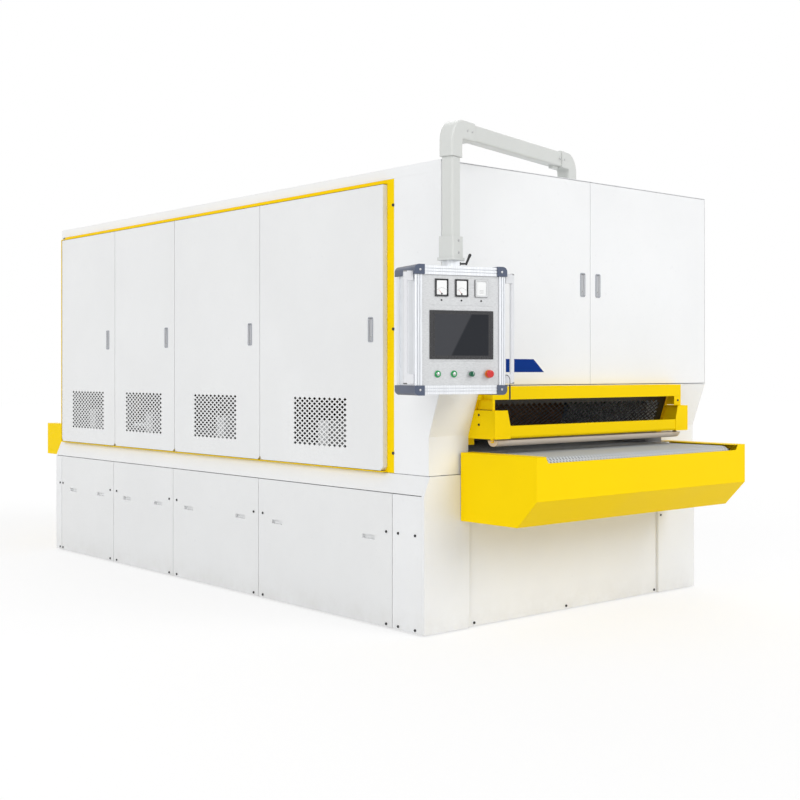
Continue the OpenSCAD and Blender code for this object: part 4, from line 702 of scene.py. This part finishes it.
BUTTON_X = (-0.122, -0.037, 0.054, 0.148)
BUTTON_Z = PANEL_LOW + 0.096
BEZEL = FASCIA - 0.004
BUTTON_PROUD = 0.005
SELECTOR_PROUD = 0.0263
STOP_PROUD = 0.022
CAP_PROFILE = [
    (0, 0.0022), (0.004, 0.0019), (0.0078, 0.0008), (0.0094, -0.0008), (0.0096, -0.002),
    (0, -0.002)
]
STOP_OUTSIDE = rect(0.022, 0.022, 0.0109, 8)
STOP_INSIDE = rect(0.019, 0.019, 0.0094, 8)
STOP_SHEET = (-0.0004, 0.0007)
SELECTOR_MARK = rect(0.0016, 0.012)
SELECTOR_SHEET = (-0.0004, 0.0006)
SELECTOR_RISE = 0.004
RING_INSIDE = 0.0108
RINGS = (
    ("button_rings", BUTTON_X[:2], 0.0168, "green_plastic", "green"),
    ("selector_ring", BUTTON_X[2:3], 0.0168, "latch_metal", "steel"),
    ("stop_collar", BUTTON_X[3:], 0.0202, "yellow_paint", "orange"),
)


def make_rings(name, all_x, radius, slot, look):
    profile = [
        (RING_INSIDE, -0.002), (radius - 0.001, -0.002), (radius, -0.0006),
        (radius - 0.0012, 0.0014), (RING_INSIDE, 0.0016), (RING_INSIDE, -0.002)
    ]
    bm = bmesh.new()
    for x in all_x:
        add_lathe(bm, profile, panel_spot(x, BEZEL, BUTTON_Z), 36)
    piece(name, bm, "panel", slot, look, smooth=True)


def make_buttons():
    for ring in RINGS:
        make_rings(*ring)
    for number, x in enumerate(BUTTON_X[:2], 1):
        top = panel_spot(x, BEZEL - BUTTON_PROUD, BUTTON_Z)
        body = "green_button_%d" % number
        lathe_piece(
            "button_cap_%d" % number, CAP_PROFILE, top, 32, body, "latch_metal", "steel"
        )
    bm = bmesh.new()
    top = panel_spot(BUTTON_X[3], BEZEL - STOP_PROUD, BUTTON_Z)
    add_ring(bm, STOP_OUTSIDE, STOP_INSIDE, STOP_SHEET, top)
    piece("stop_ring", bm, "e_stop_button", "red_plastic", "red")
    top = panel_spot(BUTTON_X[2], BEZEL - SELECTOR_PROUD, BUTTON_Z)
    top = top @ Matrix.Translation((0, SELECTOR_RISE, 0))
    prism_piece(
        "selector_mark", SELECTOR_MARK, SELECTOR_SHEET, top, "selector_switch",
        "handle_white", "dial"
    )


make_buttons()


# Caps on the ends of both handles, and screws in the four corner pieces of the panel

HANDLE_X = (-PANEL_SIDE - 0.040, PANEL_SIDE + 0.045)
HANDLE_Y = PANEL_FRONT + 0.022
HANDLE_LOW = PANEL_LOW + 0.050
HANDLE_HIGH = PANEL_HIGH - 0.027
CORNER_W = 0.048
CORNER_H = 0.042
CORNER_PROUD = 0.005


def make_handle_caps():
    profile = [
        (0, 0.0024), (0.0075, 0.0022), (0.0098, 0.001), (0.0105, -0.0005), (0.0113, -0.0015),
        (0.0116, -0.004), (0.0111, -0.0045)
    ]
    bm = bmesh.new()
    for x in HANDLE_X:
        for z, turn in ((HANDLE_LOW, math.pi), (HANDLE_HIGH, 0)):
            place = Matrix.Translation(on_panel(x, HANDLE_Y, z))
            add_lathe(bm, profile, place @ Matrix.Rotation(turn, 4, "X"), 28)
    piece("handle_caps", bm, "panel", "black_plastic", "plastic", smooth=True)


def make_corner_screws():
    bm = bmesh.new()
    x = PANEL_SIDE - CORNER_W / 2
    y = PANEL_FRONT - CORNER_PROUD
    for side in (-x, x):
        for z in (PANEL_LOW + CORNER_H / 2, PANEL_HIGH - CORNER_H / 2):
            add_lathe(bm, screw_profile(0.0055, 0.0018), panel_spot(side, y, z), 16)
    piece("corner_screws", bm, "panel", "latch_metal", "steel", smooth=True)


make_handle_caps()
make_corner_screws()


# Cord of the touch pen: the route in millimetres from the tube's axis and the panel's underside

ROUTE = (
    (246, -100, 90), (246.5, -102.5, 90.2), (248, -105, 90), (250, -107, 89), (252, -109, 87.3),
    (254, -110.5, 85), (256, -111.6, 82), (258, -112.2, 78.5), (259.5, -112.5, 75),
    (260.5, -112.6, 71), (261, -112.6, 67), (261.2, -112.6, 62), (261.3, -112.6, 56),
    (261.2, -112.6, 49), (261, -112.6, 40)
)
CORD_THICKNESS = 0.003


def cord_points():
    points = [on_panel(x / 1000, y / 1000, PANEL_LOW + z / 1000) for x, y, z in ROUTE]
    fine = []
    for first, second in zip(points, points[1:]):
        fine += [first, (first + second) / 2]
    fine.append(points[-1])
    return fine


def make_cord(points):
    data = bpy.data.curves.new("pen_cord_line", "CURVE")
    data.dimensions = "3D"
    data.bevel_depth = CORD_THICKNESS / 2
    data.bevel_resolution = 4
    data.use_fill_caps = True
    spline = data.splines.new("POLY")
    spline.points.add(len(points) - 1)
    for spot, point in zip(spline.points, points):
        spot.co = (*point, 1)
    cord = bpy.data.objects.new("pen_cord_line", data)
    bpy.context.scene.collection.objects.link(cord)
    data.materials.append(MAT["plastic"])
    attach(cord, "panel")
    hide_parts("pen_cord")


def make_pen_sleeve(end):
    profile = [
        (0.0017, 0.006), (0.0024, 0.003), (0.0038, 0.0), (0.0042, -0.003), (0.004, -0.0035)
    ]
    place = Matrix.Translation(end)
    lathe_piece("pen_sleeve", profile, place, 20, "panel", "black_plastic", "plastic")


cord_line = cord_points()
make_cord(cord_line)
make_pen_sleeve(cord_line[-1])


# Screws in the collar of the drop tube and in both sockets of the level arm

COLLAR_SCREW_Z = (1.900, 1.958)
COLLAR_SIDE = 0.0428
SOCKET_SCREW_ALONG = (0.105, 0.150, 1.076, 1.121)
SOCKET_SIDE = 0.0388
COLLAR_SCREW = screw_profile(0.006, 0.004)
SOCKET_SCREW = screw_profile(0.006, 0.003)


def make_arm_screws():
    across = Vector((-ARM_ALONG.y, ARM_ALONG.x, 0))
    bm = bmesh.new()
    for side in (-across, across):
        for z in COLLAR_SCREW_Z:
            place = TUBE + side * COLLAR_SIDE + Vector((0, 0, z))
            add_lathe(bm, COLLAR_SCREW, facing(place, side), 16)
    for along in SOCKET_SCREW_ALONG:
        for side in (-across, across):
            place = PIVOT + Vector((0, 0, ARM_Z)) + ARM_ALONG * along + side * SOCKET_SIDE
            add_lathe(bm, SOCKET_SCREW, facing(place, side), 16)
    piece("arm_screws", bm, "arm", "latch_metal", "steel", smooth=True)


make_arm_screws()


# Clamp lever on the neck of the panel: a rod that points out, and a knob that leans up from it

LEVER_OUT = Vector((0.7562, -0.6544, 0))
LEVER_ROOT = TUBE + LEVER_OUT * 0.034 + Vector((0, 0, 1.848))
ROD_LENGTH = 0.040
KNOB_LEAN = 0.42
ROD_PROFILE = [
    (0, -0.004), (0.009, -0.004), (0.009, 0.012), (0.0045, 0.014), (0.0045, 0.042), (0, 0.042)
]
KNOB_PROFILE = [
    (0, -0.007), (0.006, -0.005), (0.0055, 0.010), (0.006, 0.030), (0.0074, 0.042),
    (0.0068, 0.049), (0.003, 0.052), (0, 0.0525)
]


def make_clamp_lever():
    bm = bmesh.new()
    add_lathe(bm, ROD_PROFILE, facing(LEVER_ROOT, LEVER_OUT), 20)
    tip = LEVER_ROOT + LEVER_OUT * ROD_LENGTH
    lean = LEVER_OUT * KNOB_LEAN + Vector((0, 0, 1))
    add_lathe(bm, KNOB_PROFILE, facing(tip, lean, up=(0, 1, 0)), 20)
    piece("clamp_lever", bm, "panel", "black_plastic", "plastic", smooth=True)


make_clamp_lever()


# Safety bar: a round face, open at the top, with a plate at each end

BAR_Y = -2.184
BAR_Z = 0.9838
BAR_RADIUS = 0.0388
BAR_SHEET = 0.003
BAR_EDGE_DROP = 0.008
BAR_REACH = 0.7565
BAR_END = BAR_REACH + 0.0001
BAR_PLATE = 0.0024


def make_bar():
    skip = math.degrees(math.asin(BAR_EDGE_DROP / BAR_RADIUS))
    below = (180 + skip, 360 - skip, 24)
    outer = arc(BAR_Y, BAR_Z, BAR_RADIUS, *below)
    inner = arc(BAR_Y, BAR_Z, BAR_RADIUS - BAR_SHEET, *below)
    belongs = ("safety_bar", "cream_paint", "cream")
    sheet = (-BAR_REACH, BAR_REACH)
    prism_piece("bar_face", outer + inner[::-1], sheet, YZ_PLANE, *belongs, smooth=True)
    bm = bmesh.new()
    for low in (-BAR_END - BAR_PLATE, BAR_END):
        add_prism(bm, outer, (low, low + BAR_PLATE), YZ_PLANE)
    piece("bar_ends", bm, *belongs)


make_bar()


# Rims on both ends of the nose roller

NOSE_Y = -2.497
NOSE_Z = 0.842
RIM_X = 0.7753
RIM_PROFILE = [
    (0.046, 0.0), (0.0625, 0.0), (0.0632, 0.001), (0.0625, 0.0038), (0.046, 0.0038),
    (0.046, 0.0)
]


def make_roller_rims():
    bm = bmesh.new()
    for side in (-1, 1):
        end = facing((side * RIM_X, NOSE_Y, NOSE_Z), (side, 0, 0))
        add_lathe(bm, RIM_PROFILE, end, 48)
    piece("roller_rims", bm, "nose_roller", "green_plastic", "dark_green", smooth=True)


make_roller_rims()


# Front doors: the slanting stripe, and the seal in the seam between both doors

DOOR_FACE_Y = -2.140
STRIPE = [(-0.62, 1.326), (-0.328, 1.326), (-0.409, 1.395), (-0.62, 1.395)]
STRIPE_SHEET = (DOOR_FACE_Y - 0.0004, DOOR_FACE_Y)
SEAL = box_outline(0.0478, 0.0514, 1.262, 2.377)
SEAL_SHEET = (DOOR_FACE_Y + 0.004, DOOR_FACE_Y + 0.024)


def make_door_trim():
    prism_piece(
        "door_stripe", STRIPE, STRIPE_SHEET, XZ_PLANE, "front_door_left", "dark_blue_paint",
        "stripe"
    )
    prism_piece(
        "door_seal", SEAL, SEAL_SHEET, XZ_PLANE, "front_door_left", "white_paint", "white"
    )


make_door_trim()


# Hood: a side plate at each end, and the front strips beside the guard window

HOOD_SIDE = 0.7855
HOOD_SHEET = 0.003
HOOD_FRONT_Y = -2.2045
HOOD_TOP = 1.1846
HOOD_CHEEK = [
    (-2.0995, 1.134), (HOOD_FRONT_Y, 1.134), (HOOD_FRONT_Y, HOOD_TOP), (-2.117, HOOD_TOP)
]
STRIP_LOW = 1.1315
STRIP_X = ((-HOOD_SIDE, -0.768), (0.723, HOOD_SIDE))


def make_hood_sides():
    bm = bmesh.new()
    for low in (-HOOD_SIDE, HOOD_SIDE - HOOD_SHEET):
        add_prism(bm, HOOD_CHEEK, (low, low + HOOD_SHEET), YZ_PLANE)
    for x0, x1 in STRIP_X:
        strip = box_outline(x0, x1, STRIP_LOW, HOOD_TOP)
        add_prism(bm, strip, (HOOD_FRONT_Y - HOOD_SHEET, HOOD_FRONT_Y), XZ_PLANE)
    piece("hood_sides", bm, "frame", "yellow_paint", "yellow")


make_hood_sides()


# Guard: the wide ends of its front, and the screws of guard and hood

GUARD_SIDE = 0.805
GUARD_END_X = 0.690
GUARD_LOW = 0.985
GUARD_HIGH = 1.131
GUARD_CORNER = 0.005
GUARD_FRONT_Y = -2.2402
GUARD_SHEET = 0.0023
GUARD_SCREW_Y = -2.129
GUARD_SCREW_Z = (1.107, 1.057)
GUARD_SCREW = (0.0065, 0.003)
HOOD_SCREW = (0.0065, 0.0035)
HOOD_SCREWS = [(0.756, -2.2077, 1.160), (0.788, -2.0602, 0.469)]


def make_guard_ends():
    corner_x = GUARD_SIDE - GUARD_CORNER
    end = [(GUARD_END_X, 1.050), (0.711, GUARD_HIGH)]
    end += arc(corner_x, GUARD_HIGH - GUARD_CORNER, GUARD_CORNER, 90, 0, 6)
    end += arc(corner_x, GUARD_LOW + GUARD_CORNER, GUARD_CORNER, 0, -90, 6)
    end.append((GUARD_END_X, GUARD_LOW))
    bm = bmesh.new()
    for side in (-1, 1):
        outline = [(side * x, z) for x, z in end]
        add_prism(bm, outline, (GUARD_FRONT_Y - GUARD_SHEET, GUARD_FRONT_Y), XZ_PLANE)
    piece("guard_ends", bm, "frame", "yellow_paint", "yellow")


def make_front_screws():
    belongs = ("frame", "black_steel", "black")
    for tag, side in (("left", -1), ("right", 1)):
        places = [(side * (GUARD_SIDE + 0.0002), GUARD_SCREW_Y, z) for z in GUARD_SCREW_Z]
        screws("guard_screws_" + tag, places, (side, 0, 0), GUARD_SCREW, *belongs)
    screws("hood_screws", HOOD_SCREWS, (0, -1, 0), HOOD_SCREW, *belongs)


make_guard_ends()
make_front_screws()


# Screws of the right side, the rear and the flanges of the dust outlets

WALL_X = 1.12
WALL_Y = 2.05
WALL_LINES = (-1.783,) + BAY_LINES[1:4] + (2.03,)
WALL_INSET = 0.045
SCREW_ROWS = (0.85, 1.56, 2.28)
REAR_COLUMNS = (-1.03, -0.85, 0.85, 1.07)
REAR_MIDDLE = [(x, z) for x in (-0.4, 0.4) for z in (1.3, 2.28)]
OUTLET_X = 0.12
OUTLET_TOP = 2.389
OUTLET_OFF = 0.112
WALL_SCREW = (0.0075, 0.003)
OUTLET_SCREW = (0.006, 0.003)


def make_outside_screws():
    belongs = ("frame", "latch_metal", "steel")
    places = [
        (WALL_X, y, z)
        for y0, y1 in zip(WALL_LINES, WALL_LINES[1:])
        for y in (y0 + WALL_INSET, y1 - WALL_INSET)
        for z in SCREW_ROWS
    ]
    screws("side_screws", places, (1, 0, 0), WALL_SCREW, *belongs)
    spots = [(x, z) for x in REAR_COLUMNS for z in SCREW_ROWS] + REAR_MIDDLE
    places = [(x, WALL_Y, z) for x, z in spots]
    screws("rear_screws", places, (0, 1, 0), WALL_SCREW, *belongs)
    places = [
        (OUTLET_X + right, (y0 + y1) / 2 + back, OUTLET_TOP)
        for y0, y1 in zip(BAY_LINES, BAY_LINES[1:])
        for right in (-OUTLET_OFF, OUTLET_OFF)
        for back in (-OUTLET_OFF, OUTLET_OFF)
    ]
    screws("outlet_screws", places, (0, 0, 1), OUTLET_SCREW, *belongs, up=(0, 1, 0))


make_outside_screws()


# Stage: the floor and the room look white to the camera, and light the object less than that

FLOOR_HALF = 40
FLOOR_GREY = 0.82
SHADOW_SHARE = 0.30
ROOM_LIGHT = 0.62
DIRECT_RAYS = ("Is Camera Ray", "Is Glossy Ray", "Is Transmission Ray")
SUNS = (
    ("key", (0.30, -0.80, 0.52), 1.12, 34),
    ("fill", (-0.90, -0.25, 0.36), 1.10, 50),
    ("back", (0.5, 0.85, 0.5), 0.7, 50),
)


def seen_directly(tree):
    path = tree.nodes.new("ShaderNodeLightPath")
    seen = path.outputs[DIRECT_RAYS[0]]
    for ray in DIRECT_RAYS[1:]:
        either = tree.nodes.new("ShaderNodeMath")
        either.operation = "MAXIMUM"
        tree.links.new(seen, either.inputs[0])
        tree.links.new(path.outputs[ray], either.inputs[1])
        seen = either.outputs[0]
    return seen


def floor_material():
    nodes = Nodes("stage_floor")
    nodes.tree.nodes.remove(nodes.shader)
    dull = nodes.add("ShaderNodeBsdfDiffuse")
    dull.inputs["Color"].default_value = (FLOOR_GREY, FLOOR_GREY, FLOOR_GREY, 1)
    glow = nodes.add("ShaderNodeEmission")
    glow.inputs["Color"].default_value = (1, 1, 1, 1)
    glow.inputs["Strength"].default_value = 1.0
    bright = nodes.add("ShaderNodeBsdfDiffuse")
    bright.inputs["Color"].default_value = (1, 1, 1, 1)
    shadowed = nodes.add("ShaderNodeMixShader")
    shadowed.inputs[0].default_value = SHADOW_SHARE
    nodes.link(glow.outputs[0], shadowed.inputs[1])
    nodes.link(bright.outputs[0], shadowed.inputs[2])
    pick = nodes.add("ShaderNodeMixShader")
    nodes.link(seen_directly(nodes.tree), pick.inputs[0])
    nodes.link(dull.outputs[0], pick.inputs[1])
    nodes.link(shadowed.outputs[0], pick.inputs[2])
    nodes.link(pick.outputs[0], nodes.out.inputs["Surface"])
    return nodes.material


def make_floor():
    bm = bmesh.new()
    bmesh.ops.create_grid(bm, x_segments=1, y_segments=1, size=FLOOR_HALF)
    mesh = bpy.data.meshes.new("floor")
    bm.to_mesh(mesh)
    bm.free()
    floor = bpy.data.objects.new("floor", mesh)
    bpy.context.scene.collection.objects.link(floor)
    mesh.materials.append(floor_material())


def make_world():
    world = bpy.data.worlds.new("studio")
    bpy.context.scene.world = world
    world.use_nodes = True
    tree = world.node_tree
    tree.nodes.clear()
    level = tree.nodes.new("ShaderNodeMapRange")
    level.inputs["To Min"].default_value = ROOM_LIGHT
    level.inputs["To Max"].default_value = 1.0
    tree.links.new(seen_directly(tree), level.inputs["Value"])
    back = tree.nodes.new("ShaderNodeBackground")
    back.inputs["Color"].default_value = (1, 1, 1, 1)
    tree.links.new(level.outputs["Result"], back.inputs["Strength"])
    out = tree.nodes.new("ShaderNodeOutputWorld")
    tree.links.new(back.outputs[0], out.inputs["Surface"])


def make_suns():
    for name, toward, strength, width in SUNS:
        lamp = bpy.data.lights.new(name, "SUN")
        lamp.energy = strength
        lamp.angle = math.radians(width)
        sun = bpy.data.objects.new(name, lamp)
        bpy.context.scene.collection.objects.link(sun)
        sun.rotation_euler = Vector(toward).to_track_quat("Z", "Y").to_euler()


make_floor()
make_world()
make_suns()
bpy.context.scene.view_settings.view_transform = "Standard"
